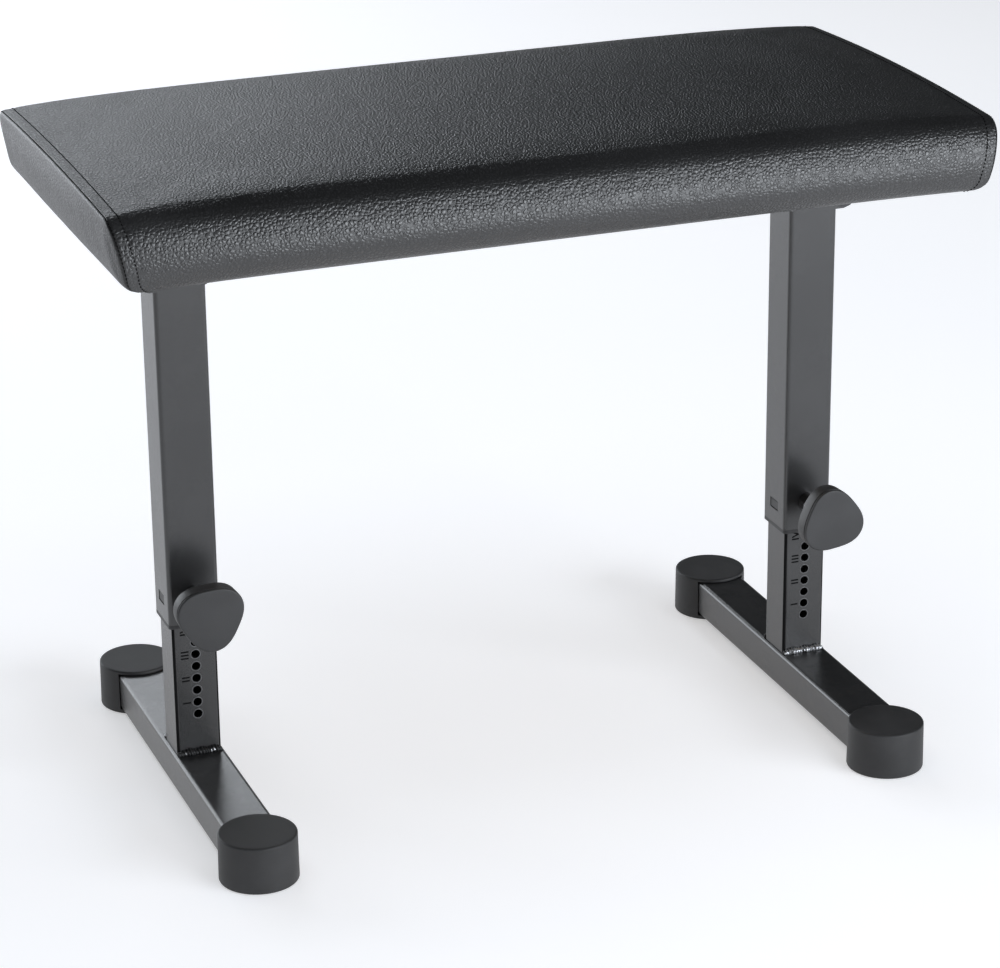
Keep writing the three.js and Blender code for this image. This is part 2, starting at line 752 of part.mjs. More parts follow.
function knobBody(turn) {
  const head = knobPlate(turn, 0, knobFront, knobBack);
  const neck = knobPlate(turn, knobGrooveDepth, capBack + fixedGap, knobBack - knobWall / 2);
  const hub = rodY(knobHubDiameter, 0, knobHeight, knobFront + knobWall / 2, washerFront - fixedGap,
    medium, knobHubTipDiameter);
  const bore = rodY(screwDiameter + 2 * boltClearance, 0, knobHeight,
    knobFront + knobFrontWall - fixedGap, 0);
  return cut(join(head, neck, hub), bore);
}

function knobCap(turn) {
  const rings = [[knobFace, knobCapBevel], [knobFace + knobCapBevel, 0], [capBack, 0]];
  const outlines = rings.map(([y, inset]) => {
    const points = lobedOutline(knobRadius - inset, knobLobe, knobLobeCount, turn, fine).getPoints();
    return points.map((point) => new THREE.Vector3(point.x, y, knobHeight + point.y));
  });
  const onAxis = (y) => new THREE.Vector3(0, y, knobHeight);
  return loft(outlines, onAxis(knobFace), onAxis(capBack));
}

function knobScrew() {
  const shoulder = -(tubeFace + fixedGap);
  const thread = rodY(screwDiameter, 0, knobHeight, knobFront + knobFrontWall, shoulder);
  const pilot = rodY(pilotDiameter, 0, knobHeight, shoulder - screwDiameter, shoulder + pilotReach);
  return join(thread, pilot);
}

function washerY(diameter, bolt, x, z, y0, y1) {
  return cut(rodY(diameter, x, z, y0, y1),
    rodY(bolt + 2 * boltClearance, x, z, y0 - overrun, y1 + overrun));
}

function knobWasher() {
  const back = washerFront + washerThickness;
  return washerY(washerDiameter, screwDiameter, 0, knobHeight, washerFront, back);
}

// Lock screw on the back cheek: weld nut, washer, grip and screw
function lockNut(x) {
  return nutY(lockNutAcross, lockDiameter, x, lockHeight, cheekOutside + fixedGap, lockNutBack);
}

function lockWasher(x) {
  const front = lockNutBack + fixedGap;
  return washerY(lockWasherDiameter, lockDiameter, x, lockHeight, front, lockWasherBack);
}

function lockGrip(x) {
  const outline = lobedOutline(lockGripRadius, lockGripLobe, lockGripLobeCount, 0, fine);
  const grip = plate(outline, lockGripStart, lockGripStart + lockGripHeight).translate(x, 0, lockHeight);
  const bore = rodY(lockDiameter + 2 * boltClearance, x, lockHeight, lockGripStart - overrun,
    lockScrewEnd + fixedGap);
  return cut(grip, bore);
}

function lockScrew(x) {
  return rodY(lockDiameter, x, lockHeight, sleeveFace + fixedGap, lockScrewEnd);
}

// The bench: the seat, then each leg about its own upright
function piece(name, geometry, material) {
  const mesh = new THREE.Mesh(geometry, material);
  mesh.name = name;
  return mesh;
}

function seat() {
  const group = new THREE.Group();
  group.add(
    piece('cover_main_panel', coverMainPanel().translate(0, seatBehindLegs, 0), leatherette),
    piece('cover_left_end_panel', coverEndPanel(-1).translate(0, seatBehindLegs, 0), leatherette),
    piece('cover_right_end_panel', coverEndPanel(1).translate(0, seatBehindLegs, 0), leatherette),
    piece('seat_foam', seatFoam().translate(0, seatBehindLegs, 0), upholsteryFoam),
    piece('seat_board', seatBoard(), plywood),
  );
  return group;
}

function hinge(name, side) {
  const inward = -side;
  const group = new THREE.Group();
  group.add(
    piece(`${name}_hinge_bracket`, hingeBracket(side), blackSteel),
    piece(`${name}_pivot_bolt`, pivotThroughBolt(inward * pivotInset), zincSteel),
    piece(`${name}_pivot_nut`, pivotNut(inward * pivotInset), zincSteel),
    piece(`${name}_stop_pin`, stopPin(-inward * stopPinOutset), zincSteel),
    piece(`${name}_lock_nut`, lockNut(-inward * lockOutset), blackSteel),
    piece(`${name}_lock_washer`, lockWasher(-inward * lockOutset), zincSteel),
    piece(`${name}_lock_grip`, lockGrip(-inward * lockOutset), blackPlastic),
    piece(`${name}_lock_screw`, lockScrew(-inward * lockOutset), zincSteel),
  );
  woodScrewPlaces(side).forEach(([x, y], k) => {
    group.add(piece(`${name}_bracket_screw_${k + 1}`, bracketScrew(x, y), zincSteel));
  });
  return group;
}

function leg(name, side, knobTurn) {
  const inward = -side;
  const group = new THREE.Group();
  group.add(
    piece(`${name}_sleeve`, sleeve(inward), blackSteel),
    piece(`${name}_pivot_spacer`, pivotSpacer(inward * pivotInset), blackSteel),
    piece(`${name}_clamp_boss`, clampBoss(), blackSteel),
    piece(`${name}_guide_bush`, guideBush(), blackPlastic),
    piece(`${name}_inner_tube`, innerTube(), blackSteel),
    piece(`${name}_top_glide`, topGlide(), blackPlastic),
    piece(`${name}_foot_bar`, footBar(), blackSteel),
    piece(`${name}_front_foot`, foot(-1), blackRubber),
    piece(`${name}_back_foot`, foot(1), blackRubber),
    piece(`${name}_knob_washer`, knobWasher(), zincSteel),
    piece(`${name}_knob_body`, knobBody(knobTurn), blackPlastic),
    piece(`${name}_knob_cap`, knobCap(knobTurn), blackPlastic),
    piece(`${name}_knob_screw`, knobScrew(), zincSteel),
  );
  return group;
}

const bench = new THREE.Group();
bench.add(seat());
[['left', -1, leftKnobTurn], ['right', 1, rightKnobTurn]].forEach(([name, side, knobTurn]) => {
  const group = new THREE.Group();
  group.position.x = (side * legSpacing) / 2;
  group.add(hinge(name, side), leg(name, side, knobTurn));
  bench.add(group);
});

export default bench;
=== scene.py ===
import json
import math

import bmesh
import bpy
import numpy as np
from mathutils import Matrix, Vector


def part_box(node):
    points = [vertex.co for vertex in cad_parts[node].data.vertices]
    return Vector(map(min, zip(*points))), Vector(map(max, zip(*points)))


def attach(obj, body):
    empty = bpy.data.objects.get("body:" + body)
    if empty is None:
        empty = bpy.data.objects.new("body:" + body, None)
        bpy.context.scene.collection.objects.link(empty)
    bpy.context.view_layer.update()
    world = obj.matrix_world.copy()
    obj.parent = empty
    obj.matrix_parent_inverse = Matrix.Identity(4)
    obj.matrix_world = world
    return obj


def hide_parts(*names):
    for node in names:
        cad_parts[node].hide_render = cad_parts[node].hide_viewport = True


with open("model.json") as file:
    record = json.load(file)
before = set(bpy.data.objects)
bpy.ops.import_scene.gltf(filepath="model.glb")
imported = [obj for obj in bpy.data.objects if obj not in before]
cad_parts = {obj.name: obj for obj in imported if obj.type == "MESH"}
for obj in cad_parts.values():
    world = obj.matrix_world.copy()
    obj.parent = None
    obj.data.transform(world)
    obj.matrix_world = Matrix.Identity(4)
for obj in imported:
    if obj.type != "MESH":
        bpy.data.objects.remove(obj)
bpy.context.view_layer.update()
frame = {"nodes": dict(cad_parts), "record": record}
millimetre = 0.001
sides = {"left": -1, "right": 1}
print("frame loaded:", len(frame["nodes"]), "nodes")


# Camera, studio and floor
cameraSettings = {
    "place": (-0.8966, -2.3861, 1.1975),
    "yaw": 20.59,      # degrees from +Y towards +X
    "pitch": 21.13,    # degrees downwards
    "roll": -0.62,
    "lens": 125.6,     # mm, as the sensor's width
    "sensor": 36.0,
    "farthest": 60,    # metres
}


def makeCamera(settings):
    yaw, pitch, roll = (math.radians(settings[key]) for key in ("yaw", "pitch", "roll"))
    ahead = Vector((math.sin(yaw) * math.cos(pitch), math.cos(yaw) * math.cos(pitch), -math.sin(pitch)))
    levelRight = Vector((math.cos(yaw), -math.sin(yaw), 0))
    levelUp = levelRight.cross(ahead)
    right = math.cos(roll) * levelRight + math.sin(roll) * levelUp
    up = math.cos(roll) * levelUp - math.sin(roll) * levelRight
    data = bpy.data.cameras.new("studioCamera")
    data.sensor_width = settings["sensor"]
    data.lens = settings["lens"]
    data.clip_end = settings["farthest"]
    camera = bpy.data.objects.new("studioCamera", data)
    turn = Matrix((right, up, -ahead)).transposed()
    camera.matrix_world = Matrix.Translation(settings["place"]) @ turn.to_4x4()
    bpy.context.collection.objects.link(camera)
    bpy.context.scene.camera = camera


# Soft boxes: where each stands, what it points at, its size in metres and its power in watts
softBoxes = {
    "overhead": {"place": (0.0, -0.2, 3.4), "aim": (0, 0, 0), "size": (4.0, 4.0),
                 "power": 60, "glossy": False},
    "backLeft": {"place": (-1.55, 2.9, 0.75), "aim": (0, 0, 0.3), "size": (2.6, 1.5),
                 "power": 48, "glossy": True},
    "backHigh": {"place": (0.25, 3.6, 1.95), "aim": (0, 0, 0.5), "size": (1.5, 1.3),
                 "power": 21, "glossy": True},
    "frontHigh": {"place": (1.7, -2.7, 1.1), "aim": (0, 0, 0.5), "size": (2.6, 0.7),
                  "power": 72, "glossy": True},
    "frontLow": {"place": (1.6, -3.2, 0.35), "aim": (0, 0, 0.3), "size": (2.4, 0.7),
                 "power": 20, "glossy": True},
}
coolWhite = (0.90, 0.945, 1.0)
backdrop = {"seen": 0.95, "light": 0.05}    # brightness that the camera sees, and as light on the bench


def makeStudio():
    for name, box in softBoxes.items():
        data = bpy.data.lights.new(name, "AREA")
        data.shape = "RECTANGLE"
        data.size, data.size_y = box["size"]
        data.energy = box["power"]
        data.color = coolWhite
        lamp = bpy.data.objects.new(name, data)
        place = Vector(box["place"])
        lamp.location = place
        lamp.rotation_euler = (Vector(box["aim"]) - place).to_track_quat("-Z", "Y").to_euler()
        lamp.visible_camera = False
        lamp.visible_glossy = box["glossy"]
        bpy.context.collection.objects.link(lamp)
    world = bpy.data.worlds.new("studioWorld")
    world.use_nodes = True
    nodes, links = world.node_tree.nodes, world.node_tree.links
    seen = nodes["Background"]
    brightness = backdrop["seen"]
    seen.inputs["Color"].default_value = (brightness, brightness, brightness, 1)
    seen.inputs["Strength"].default_value = 1.0
    ambient = nodes.new("ShaderNodeBackground")
    ambient.inputs["Color"].default_value = (*coolWhite, 1)
    ambient.inputs["Strength"].default_value = backdrop["light"]
    rays = nodes.new("ShaderNodeLightPath")
    choice = nodes.new("ShaderNodeMixShader")
    links.new(rays.outputs["Is Camera Ray"], choice.inputs[0])
    links.new(ambient.outputs[0], choice.inputs[1])
    links.new(seen.outputs[0], choice.inputs[2])
    links.new(choice.outputs[0], nodes["World Output"].inputs["Surface"])
    bpy.context.scene.world = world
    bpy.context.scene.view_settings.view_transform = "Standard"


# Shader maths: a wire is one socket, and sums on it add Math nodes
class Wire:
    def __init__(self, finish, socket):
        self.finish = finish
        self.socket = socket

    def maths(self, operation, *values):
        return self.finish.node("ShaderNodeMath", {"operation": operation}, dict(enumerate(values)))

    def __add__(self, other):
        return self.maths("ADD", self, other)

    def __radd__(self, other):
        return self.maths("ADD", other, self)

    def __sub__(self, other):
        return self.maths("SUBTRACT", self, other)

    def __rsub__(self, other):
        return self.maths("SUBTRACT", other, self)

    def __mul__(self, other):
        return self.maths("MULTIPLY", self, other)

    def step(self, low, high):
        # eases from 0 at low to 1 at high
        return self.finish.node("ShaderNodeMapRange", {"interpolation_type": "SMOOTHSTEP"},
                                {"Value": self, "From Min": low, "From Max": high})


class Finish:
    def __init__(self, name, **constants):
        self.material = bpy.data.materials.new(name)
        self.material.use_nodes = True
        self.tree = self.material.node_tree
        self.shader = self.tree.nodes["Principled BSDF"]
        for socketName, value in constants.items():
            self.shader.inputs[socketName.replace("_", " ")].default_value = value
        self.place = self.node("ShaderNodeTexCoord", output="Object")

    def node(self, kind, settings=None, inputs=None, output=0):
        made = self.tree.nodes.new(kind)
        for key, value in (settings or {}).items():
            setattr(made, key, value)
        for key, value in (inputs or {}).items():
            self.feed(made.inputs[key], value)
        return Wire(self, made.outputs[output])

    def feed(self, socket, value):
        if isinstance(value, Wire):
            self.tree.links.new(value.socket, socket)
        else:
            socket.default_value = value

    def set(self, **values):
        for socketName, value in values.items():
            self.feed(self.shader.inputs[socketName.replace("_", " ")], value)

    def noise(self, scale, detail=2.0, place=None):
        values = {"Vector": place or self.place, "Scale": scale, "Detail": detail}
        return self.node("ShaderNodeTexNoise", {}, values)

    def cells(self, scale, feature, place, randomness):
        values = {"Vector": place, "Scale": scale, "Randomness": randomness}
        return self.node("ShaderNodeTexVoronoi", {"feature": feature}, values, "Distance")

    def blend(self, factor, first, second):
        # colour mix: sockets 6 and 7 of a Mix node are its two colours, and output 2 the result
        return self.node("ShaderNodeMix", {"data_type": "RGBA"}, {0: factor, 6: first, 7: second}, 2)

    def axis(self, name):
        return self.node("ShaderNodeSeparateXYZ", {}, {"Vector": self.place}, name)

    def stretch(self, scale, place=None):
        values = {0: place or self.place, 1: scale}
        return self.node("ShaderNodeVectorMath", {"operation": "MULTIPLY"}, values)

    def warp(self, amount, scale):
        # the place, shaken by a noise of the given scale
        values = {"Vector": self.place, "Scale": scale, "Detail": 1.0}
        shake = self.node("ShaderNodeTexNoise", {}, values, "Color")
        return self.node("ShaderNodeVectorMath", {"operation": "MULTIPLY_ADD"},
                         {0: shake, 1: (amount, amount, amount), 2: self.place})

    def recess(self, factor, colour):
        # where the factor is 1, a dull darker second shader shows instead, painted in as shade
        dull = self.node("ShaderNodeBsdfDiffuse", {}, {"Color": colour})
        usual = Wire(self, self.shader.outputs[0])
        both = self.node("ShaderNodeMixShader", {}, {0: factor, 1: usual, 2: dull})
        self.tree.links.new(both.socket, self.tree.nodes["Material Output"].inputs["Surface"])

    def bump(self, height, distance):
        values = {"Height": height, "Distance": distance, "Strength": 1.0}
        self.set(Normal=self.node("ShaderNodeBump", {}, values))


def grey(value):
    return (value, value, value * 1.03, 1)


floorSettings = {"reach": 14.0, "colour": 0.82, "glow": 0.42, "drop": 0.0004}


def makeFloor(settings):
    finish = Finish("paleFloor", Roughness=0.9)
    finish.shader.inputs["Specular IOR Level"].default_value = 0.1
    tone = finish.noise(3.0)
    finish.set(Base_Color=finish.blend(tone, grey(settings["colour"]), grey(settings["colour"] * 1.02)))
    finish.shader.inputs["Emission Color"].default_value = (1, 1, 1, 1)
    finish.shader.inputs["Emission Strength"].default_value = settings["glow"]
    reach = settings["reach"]
    top = -settings["drop"]
    steps = np.linspace(-reach, reach, 9)
    across, along = np.meshgrid(steps, steps, indexing="ij")
    points = np.stack([across, along, np.full_like(across, top)], axis=-1)
    floor = gridPiece("floor", points, finish)


# Meshes from grids of points
def gridFaces(rows, columns, wrapRows=False, wrapColumns=False):
    # quads between neighbouring rows and columns, numbered row by row
    rowStarts = np.arange(rows if wrapRows else rows - 1)
    columnStarts = np.arange(columns if wrapColumns else columns - 1)
    row, column = np.meshgrid(rowStarts, columnStarts, indexing="ij")
    nextRow = (row + 1) % rows
    nextColumn = (column + 1) % columns
    corners = [row * columns + column, nextRow * columns + column,
               nextRow * columns + nextColumn, row * columns + nextColumn]
    return np.stack(corners, axis=-1).reshape(-1, 4)


def shadeSmooth(mesh):
    mesh.polygons.foreach_set("use_smooth", np.ones(len(mesh.polygons), dtype=bool))


def meshPiece(name, vertices, faces, finish):
    # a smoothly shaded mesh in one finish, linked to the scene
    mesh = bpy.data.meshes.new(name)
    mesh.from_pydata(vertices.tolist(), [], faces)
    shadeSmooth(mesh)
    mesh.materials.append(finish.material)
    mesh.update()
    piece = bpy.data.objects.new(name, mesh)
    bpy.context.collection.objects.link(piece)
    return piece


def gridPiece(name, points, finish, wrapRows=False, wrapColumns=False, capped=False, flip=False):
    # a grid of points as a mesh; capped closes the first and last rows with a fan to their middle
    rows, columns = points.shape[:2]
    vertices = points.reshape(-1, 3)
    faces = gridFaces(rows, columns, wrapRows, wrapColumns).tolist()
    if capped:
        middles = np.stack([points[0].mean(axis=0), points[-1].mean(axis=0)])
        firstMiddle = len(vertices)
        vertices = np.concatenate([vertices, middles])
        here = np.arange(columns)
        beyond = (here + 1) % columns
        last = (rows - 1) * columns
        faces += np.stack([np.full(columns, firstMiddle), here, beyond], axis=-1).tolist()
        faces += np.stack([np.full(columns, firstMiddle + 1), last + beyond, last + here], axis=-1).tolist()
    if flip:
        faces = [face[::-1] for face in faces]
    return meshPiece(name, vertices, faces, finish)


def copiesPiece(name, shape, shapeFaces, places, axes, finish):
    # many small copies of one shape: each copy's points are place + shape times its three axes
    vertices = places[:, None, :] + np.einsum("sk,nkc->nsc", shape, axes)
    count = len(places)
    offsets = (np.arange(count) * len(shape))[:, None, None]
    faces = (shapeFaces[None] + offsets).reshape(-1, shapeFaces.shape[1])
    return meshPiece(name, vertices.reshape(-1, 3), faces.tolist(), finish)


def dressPiece(piece, body, slotName, *replaced):
    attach(piece, body)
    if replaced:
        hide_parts(*replaced)


def unit(vectors):
    return vectors / np.maximum(np.linalg.norm(vectors, axis=-1, keepdims=True), 1e-12)


def mix(first, second, share):
    return first + (second - first) * share


def ease(value, low, high):
    share = np.clip((value - low) / (high - low), 0, 1)
    return share * share * (3 - 2 * share)


def applyModifiers(piece):
    depsgraph = bpy.context.evaluated_depsgraph_get()
    finished = bpy.data.meshes.new_from_object(piece.evaluated_get(depsgraph))
    piece.modifiers.clear()
    piece.data = finished


# Finishes
leather = {
    "cells": 360.0,              # pebbles to a metre on the sides
    "topCells": 370.0,           # and on the stretched top
    "topFrom": (0.498, 0.5145),  # heights between which the sides' grain gives way to the top's
    "scatter": 0.85,
    "depth": 0.00034,
}


def leatherFinish(name, grain, gloss):
    # pebbled leatherette: rounded cells parted by fine crease lines, painted darker in them as shade; on top
    # it is stretched and flatter
    finish = Finish(name)
    finish.shader.inputs["Specular IOR Level"].default_value = gloss
    shaken = finish.warp(0.0012, 260.0)
    slack = 1 - finish.axis("Z").step(*leather["topFrom"])
    scatter = leather["scatter"]
    coarse = finish.cells(leather["cells"], "DISTANCE_TO_EDGE", shaken, scatter).step(0.0, 0.3)
    rounds = 1 - finish.cells(leather["cells"], "F1", shaken, scatter).step(0.0, 0.8)
    stretched = finish.stretch((1.0, 0.8, 1.0), shaken)
    tight = finish.cells(leather["topCells"], "DISTANCE_TO_EDGE", stretched, scatter).step(0.0, 0.34)
    fine = finish.noise(1500.0, 2.0)
    drift = finish.noise(9.0, 3.0)
    pebbles = (coarse * 0.55 + rounds * 0.45) * slack
    height = pebbles + tight * (1 - slack) * 0.8 + fine * 0.05
    finish.bump(height * grain, leather["depth"])
    edges = coarse * slack + tight * (1 - slack)
    finish.set(Roughness=0.43 - edges * 0.08 + drift * 0.06)
    # the colour darkens along the cells' edges: painted shade in the crease lines
    creaseShade = finish.blend(edges, grey(0.004), grey(0.0125))
    finish.set(Base_Color=finish.blend(drift.step(0.35, 0.75) * 0.5, creaseShade, grey(0.018)))
    return finish


def threadFinish():
    # sewing thread: two plies laid round each other
    finish = Finish("blackThread", Roughness=0.85)
    finish.shader.inputs["Specular IOR Level"].default_value = 0.15
    lay = finish.node("ShaderNodeTexWave", {"bands_direction": "DIAGONAL"},
                      {"Vector": finish.place, "Scale": 700.0, "Distortion": 1.5}, "Fac")
    # darker where the lay sinks: painted shade between the plies
    finish.set(Base_Color=finish.blend(lay, grey(0.002), grey(0.007)))
    finish.bump(lay, 0.00008)
    return finish


def powderFinish(name, face=None):
    # powder coated steel: fine orange peel; in a thin band just behind a given front face, on the walls of
    # numerals and holes, a dull darker shader is painted in as shade
    finish = Finish(name)
    finish.shader.inputs["Specular IOR Level"].default_value = 0.8
    peel = finish.noise(1500.0, 2.0)
    specks = finish.noise(4200.0, 1.0)
    cloud = finish.noise(14.0, 3.0)
    finish.bump(peel * 0.7 + specks * 0.3, 0.00007)
    finish.set(Roughness=0.20 + cloud * 0.1 + specks * 0.05)
    finish.set(Base_Color=finish.blend(cloud.step(0.3, 0.8), grey(0.015), grey(0.022)))
    if face is not None:
        depth = finish.axis("Y")
        # surfaces 0.1 to 2.1 mm behind the front face get a dull darker shader: painted shade in the stamped
        # numerals and holes
        stampedShade = depth.step(face + 0.1 * millimetre, face + 0.2 * millimetre)
        stampedShade = stampedShade * (1 - depth.step(face + 2.1 * millimetre, face + 2.4 * millimetre))
        finish.recess(stampedShade, grey(0.012))
    return finish


def rimHighlightFinish():
    # the raised rim of a punched hole, painted pale as a highlight on its edge
    finish = Finish("paintedRimHighlight", Roughness=0.3)
    highlightPatches = finish.noise(500.0, 2.0)
    finish.set(Base_Color=finish.blend(highlightPatches, grey(0.05), grey(0.16)))
    return finish


def zincFinish(name, dull, bright):
    # plated steel, faintly drawn and blotched
    finish = Finish(name, Metallic=1.0)
    drawn = finish.noise(260.0, 3.0, finish.stretch((1.0, 8.0, 1.0)))
    spots = finish.noise(40.0, 2.0)
    finish.set(Base_Color=finish.blend(spots.step(0.3, 0.8), grey(dull), grey(bright)))
    finish.set(Roughness=0.28 + drawn * 0.2)
    finish.bump(drawn, 0.00004)
    return finish


def plasticFinish(name, tone, coarse):
    # moulded plastic with a fine spark-eroded surface, paler where hands rub it
    finish = Finish(name, Roughness=0.5)
    spark = finish.noise(coarse, 3.0)
    rub = finish.noise(24.0, 3.0)
    finish.bump(spark, 0.0001)
    finish.set(Roughness=0.42 + spark * 0.16)
    finish.set(Base_Color=finish.blend(rub.step(0.35, 0.75), grey(tone), grey(tone * 1.35)))
    return finish


def rubberFinish():
    # moulded rubber: dull, with a faint bloom
    finish = Finish("blackRubber", Roughness=0.6)
    skin = finish.noise(1800.0, 2.0)
    bloom = finish.noise(30.0, 4.0)
    finish.bump(skin, 0.00008)
    finish.set(Roughness=0.5 + bloom * 0.16)
    finish.set(Base_Color=finish.blend(bloom.step(0.35, 0.8), grey(0.02), grey(0.034)))
    return finish


def woodFinish():
    # birch plywood: long soft grain, with the plies' edges as bands
    finish = Finish("birchPlywood", Roughness=0.55)
    grain = finish.noise(40.0, 5.0, finish.stretch((0.6, 9.0, 9.0)))
    pores = finish.noise(900.0, 2.0, finish.stretch((0.08, 1.0, 1.0)))
    tone = grain * 0.7 + pores * 0.3
    finish.set(Base_Color=finish.blend(tone.step(0.25, 0.75), (0.32, 0.20, 0.10, 1), (0.55, 0.39, 0.23, 1)))
    finish.bump(pores, 0.00012)
    return finish


def weldFinish(name, bright):
    # weld bead: bare bright metal, or painted over with bare spots where the paint missed
    finish = Finish(name)
    grit = finish.noise(700.0, 4.0)
    patches = finish.noise(170.0, 3.0)
    bare = patches.step(0.42, 0.5) if bright else patches.step(0.62, 0.66)
    finish.set(Base_Color=finish.blend(bare, grey(0.02), (0.72, 0.73, 0.75, 1)))
    finish.set(Metallic=bare * 0.9)
    finish.set(Roughness=0.4 - bare * 0.12)
    finish.bump(grit, 0.0003)
    return finish


coverLeather = leatherFinish("seatLeather", 1.0, 0.95)
endLeather = leatherFinish("endPanelLeather", 0.6, 0.5)
blackThread = threadFinish()
powderCoat = powderFinish("blackPowderCoat")
tubePowder = powderFinish("innerTubePowderCoat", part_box("left_inner_tube")[0][1])
# hole rims painted pale: a painted highlight round each hole
paintedRimHighlight = rimHighlightFinish()
zincSteel = zincFinish("zincSteel", 0.44, 0.62)
blackZinc = zincFinish("blackZinc", 0.05, 0.09)
blackPlastic = plasticFinish("blackPlastic", 0.022, 1400.0)
knobPlastic = plasticFinish("knobPlastic", 0.028, 1100.0)
blackRubber = rubberFinish()
plywood = woodFinish()
brightWeld = weldFinish("bareWeld", True)
paintedWeld = weldFinish("paintedWeld", False)
print("finishes made")

makeCamera(cameraSettings)
makeStudio()
makeFloor(floorSettings)
print("studio set")


# Cushion
mainLow, mainHigh = (np.array(corner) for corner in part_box("cover_main_panel"))
cushion = {
    "halfLength": 342 * millimetre,       # to the end seam at the seam's height
    "endSlope": 11 / 54,                  # how the ends draw in towards the bottom
    "slopeFrom": 510 * millimetre,
    "endRoll": 10 * millimetre,           # the ends roll under at the bottom
    "halfDepth": (mainHigh[1] - mainLow[1]) / 2,
    "middleY": (mainHigh[1] + mainLow[1]) / 2,
    "endNarrowing": 6 * millimetre,       # each long side draws in by this at the ends
    "pullIn": 11 * millimetre,            # and is pulled in by this at its foot between them
    "aboveTurn": math.radians(25),        # the swelling sides run from this turn above the level
    "belowTurn": math.radians(20),        # to this turn below it
    "top": mainHigh[2],
    "bottom": mainLow[2],
    "endDrop": 6.5 * millimetre,
    "crown": 3.5 * millimetre,
    "topRoll": 24 * millimetre,
    "topRollAtEnds": 20 * millimetre,
    "bottomRoll": 9 * millimetre,
    "hem": 18 * millimetre,
    "thickness": 1.2 * millimetre,
    "tuckIn": 2 * millimetre,             # an end panel's rim turns in by this under the seam
    "tuckRows": 5,
    "endPower": 6,
    "bulge": 5 * millimetre,
    "swellBy": 25 * millimetre,           # an end panel reaches its full swell this far in from its rim
    "stitchLine": 8.6 * millimetre,       # topstitch inboard of the end seam
    "seamZone": 15 * millimetre,          # the main panel's rings stand close together this far from a seam
    "seamRings": 28,
    "middleRings": 60,
    "rimZone": 5 * millimetre,            # and an end panel's rows this far in from its rim
    "rimRows": 14,
    "panelRows": 20,
    "middleLine": 30 * millimetre,        # an end panel's middle line stops this short of its corners
}
fineShares = {"hem": 5, "low": 9, "side": 20, "roll": 16, "crown": 38}
aboveHem = slice(fineShares["hem"], -fineShares["hem"])    # a section's columns without both hems


def cushionSection(endShare, distance, settings, shares=fineShares):
    # rounds from the back hem over the top to the front hem, for each share of the half length; half of it
    # is the hem, three arcs for bottom roll, side and top roll, and the crown, and the rest is its mirror
    # image. Below its widest level the side is pulled in by the square of the way down
    near = np.abs(endShare)[:, None] ** settings["endPower"]
    half = settings["halfDepth"] - settings["endNarrowing"] * near
    top = settings["top"] - settings["endDrop"] * near
    roll = mix(settings["topRoll"], settings["topRollAtEnds"], near)
    low, above, below = (settings[key] for key in ("bottomRoll", "aboveTurn", "belowTurn"))
    shoulder = top - settings["crown"]
    sideTop = shoulder - roll * (1 - math.sin(above))
    sideBottom = settings["bottom"] + low * (1 - math.sin(below))
    sideRadius = (sideTop - sideBottom) / (math.sin(above) + math.sin(below))
    sideY, sideZ = half - sideRadius, sideTop - sideRadius * math.sin(above)
    flat = sideY + (sideRadius - roll) * math.cos(above)
    foot = sideY + (sideRadius - low) * math.cos(below)
    hem = np.minimum(settings["hem"], distance[:, None] + 0.3 * millimetre)
    s = {key: np.linspace(0, 1, count, endpoint=(key == "crown"))[None] for key, count in shares.items()}
    quarter = math.pi / 2
    lowTurn = mix(-quarter, -below, s["low"])
    sideTurn = mix(-below, above, s["side"])
    rollTurn = mix(above, quarter, s["roll"])
    y = np.concatenate([foot - hem * (1 - s["hem"]), foot + low * np.cos(lowTurn),
                        sideY + sideRadius * np.cos(sideTurn), flat + roll * np.cos(rollTurn),
                        flat * (1 - s["crown"])], axis=1)
    z = np.concatenate([settings["bottom"] + 0 * hem * s["hem"],
                        settings["bottom"] + low * (1 + np.sin(lowTurn)) + 0 * near,
                        sideZ + sideRadius * np.sin(sideTurn), shoulder - roll * (1 - np.sin(rollTurn)),
                        top - settings["crown"] * (1 - s["crown"]) ** 2], axis=1)
    wayDown = np.clip((sideZ - z) / (sideZ - settings["bottom"]), 0, 1)
    y = y - settings["pullIn"] * (1 - near) * wayDown ** 2
    y = np.concatenate([y, -y[:, -2::-1]], axis=1)
    z = np.concatenate([z, z[:, -2::-1]], axis=1)
    return y, z


def endReach(z, settings):
    # how far the end seam lies from the middle: it draws in downwards and rolls under at the bottom
    roll = settings["endRoll"]
    under = np.clip((settings["bottom"] + roll - z) / roll, 0, 1)
    rolled = roll * (1 - np.sqrt(1 - under ** 2))
    return settings["halfLength"] - (settings["slopeFrom"] - z) * settings["endSlope"], rolled


def endDome(inward):
    # swell of an end panel by the distance from its rim: a quarter of a sine wave, quicker at its start
    share = np.clip(inward / cushion["swellBy"], 0, 1)
    return cushion["bulge"] * np.sin(share * math.pi / 2) ** 0.7


# Filling: a coarse closed form swells as cloth under pressure, held along its seams and its underside
filling = {
    "shares": {"hem": 2, "low": 3, "side": 6, "roll": 7, "crown": 14},
    "rowsPerHalf": 27,
    "endShares": (0.9, 0.78, 0.64, 0.48, 0.3, 0.12),
    "slack": 2.4 * millimetre,    # the form starts this much smaller where it is free
    "cap": 3.4 * millimetre,      # no point swells by more
    "draw": 0.8 * millimetre,     # and none is drawn in by more
    "slackFrom": 120 * millimetre,
    "pressure": 4.0,
    "stiffness": 60.0,
    "frames": 20,
    "smoothings": 4,
    "clearOfHem": 22 * millimetre,   # free to swell from this height over the underside
    "clearOfRim": 12 * millimetre,   # and on an end panel from this far in from its rim
    "reach": 9 * millimetre,      # how far an end panel's point looks for the coarse points round it
}


